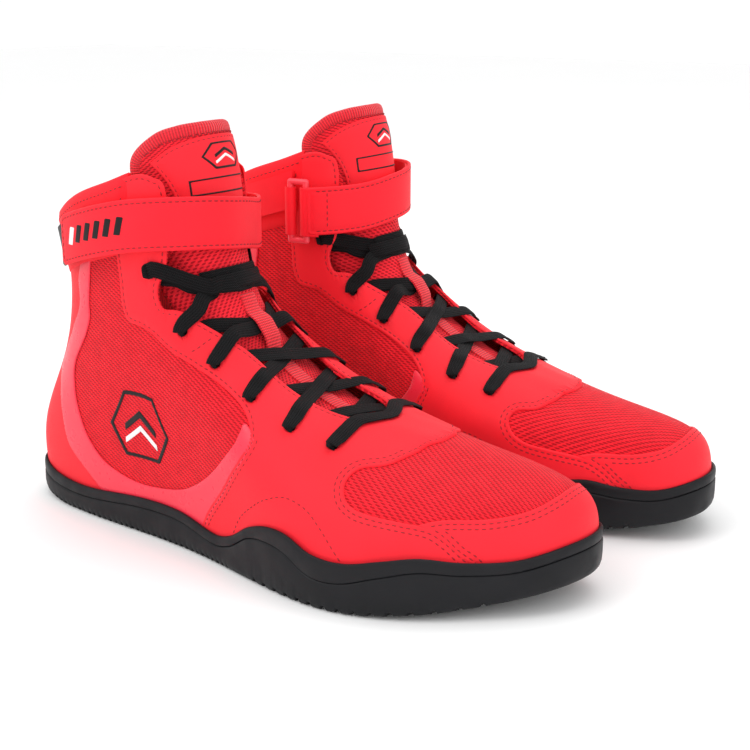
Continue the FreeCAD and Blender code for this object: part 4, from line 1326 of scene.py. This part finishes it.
def chevron(wide, tall, thick, y):
    """Corners of a chevron that points up, moved up by y."""
    return [(a, b + y) for a, b in (
        (-wide, -tall), (0, tall), (wide, -tall), (wide, -tall - thick), (0, tall - thick),
        (-wide, -tall - thick))]


def make_marks():
    def stamp(name, color, centre, outlines, net, cell, low, slot, **where):
        rings = [mark(net, centre, corners) for corners in outlines]
        piece(name, plate(net, rings, low, low + 0.28, cell, step=1.6, radius=0.15), color, slot, **where)

    on_side = {"net": upper, "cell": UPPER_CELL, "low": 0.1, "slot": "mesh"}
    on_badge = {"net": tongue, "cell": TONGUE_CELL, "low": 0.7, "slot": "patch", "blend": FLEX}
    on_strap = {"net": strap, "cell": STRAP_CELL, "low": HALF - 0.05, "slot": "strap", "body": "strap_end"}
    side, badge = (3.87, 1.28), (6.88, 4.0)
    box = [(-19, -3.7), (19, -3.7), (19, 3.7), (-19, 3.7)]
    for name, color, centre, outlines, where in (
            ("side_mark_frame", "black_print", side, [hexagon(20, 16.5), hexagon(18, 14.7)], on_side),
            ("side_mark_dark", "black_print", side, [chevron(10.5, 3.8, 3.6, 4.2)], on_side),
            ("side_mark_light", "white_print", side, [chevron(10.5, 3.8, 2.9, -3.0)], on_side),
            ("tongue_mark_frame", "black_print", badge, [hexagon(12.5, 6.0), hexagon(11.3, 5.1)], on_badge),
            ("tongue_mark_dark", "black_print", badge, [chevron(6.2, 1.5, 1.5, 1.7)], on_badge),
            ("tongue_mark_light", "white_print", badge, [chevron(6.2, 1.5, 1.25, -1.2)], on_badge),
            ("tongue_label_frame", "black_print", (6.27, 4.0),
             [box, [(a * 0.96, b * 0.8) for a, b in box]], on_badge)):
        stamp(name, color, centre, outlines, **where)
    bar = [(-2.9, -4.2), (0.7, -4.2), (2.9, 4.2), (-0.7, 4.2)]
    for k in range(6):
        name, color = ("strap_bar_%d" % k, "black_print") if k else ("strap_bar_light", "white_print")
        stamp(name, color, (11.7 - 0.5 * k, 0.95), [bar], **on_strap)


make_sole()
make_footbed()
make_collar()
make_tongue()
make_strap()
make_lace()
make_marks()
for seen, stuff in (("toe_puff", "board"), ("heel_counter", "board"), ("insole_board", "board"),
                    ("ring", "plastic"), ("ring_tab", "strap")):
    wear(seen, stuff)


# ---------------------------------------------------------------- stage, light and camera
def make_stage():
    world = bpy.data.worlds.new("studio")
    bpy.context.scene.world = world
    world.use_nodes = True
    sky = world.node_tree.nodes["Background"].inputs
    sky["Color"].default_value, sky["Strength"].default_value = (1, 1, 1, 1), 1.02
    data = bpy.data.meshes.new("floor")
    reach = 4.0
    data.from_pydata([(-reach, -reach, 0), (reach, -reach, 0), (reach, reach, 0), (-reach, reach, 0)],
                     [], [(0, 1, 2, 3)])
    paint = Paint("floor_paper", (0.9, 0.9, 0.9), 0.6, Specular_IOR_Level=0.1)
    paint.base(paint.mix(paint.noise(3), (0.96, 0.96, 0.96), (0.98, 0.98, 0.98)))
    data.materials.append(paint.made)
    linked("floor", data)
    target = Vector((0.0, 0.0, 0.06))
    for name, place_at, size_m, power in (
            ("key", (-0.5, -1.0, 1.3), 0.9, 6), ("side", (1.3, -0.5, 0.8), 0.9, 2.5),
            ("top", (0.1, 0.3, 1.6), 1.2, 5)):
        lamp = bpy.data.lights.new(name, "AREA")
        lamp.energy, lamp.size = power, size_m
        item = linked(name, lamp)
        item.location = place_at
        item.rotation_euler = (target - Vector(place_at)).to_track_quat("-Z", "Y").to_euler()


def make_camera():
    eye = Vector(place((537.196, -512.047, 255.173), "right")[0])
    aim = Vector(place((163.371, 51.174, 71.244), "right")[0])
    data = bpy.data.cameras.new("camera")
    data.lens, data.sensor_width = 69.498, 36.0
    camera = linked("camera", data)
    camera.location = eye
    camera.rotation_euler = (aim - eye).to_track_quat("-Z", "Y").to_euler()
    bpy.context.scene.camera = camera


make_stage()
make_camera()
bpy.context.scene.view_settings.view_transform = "Standard"
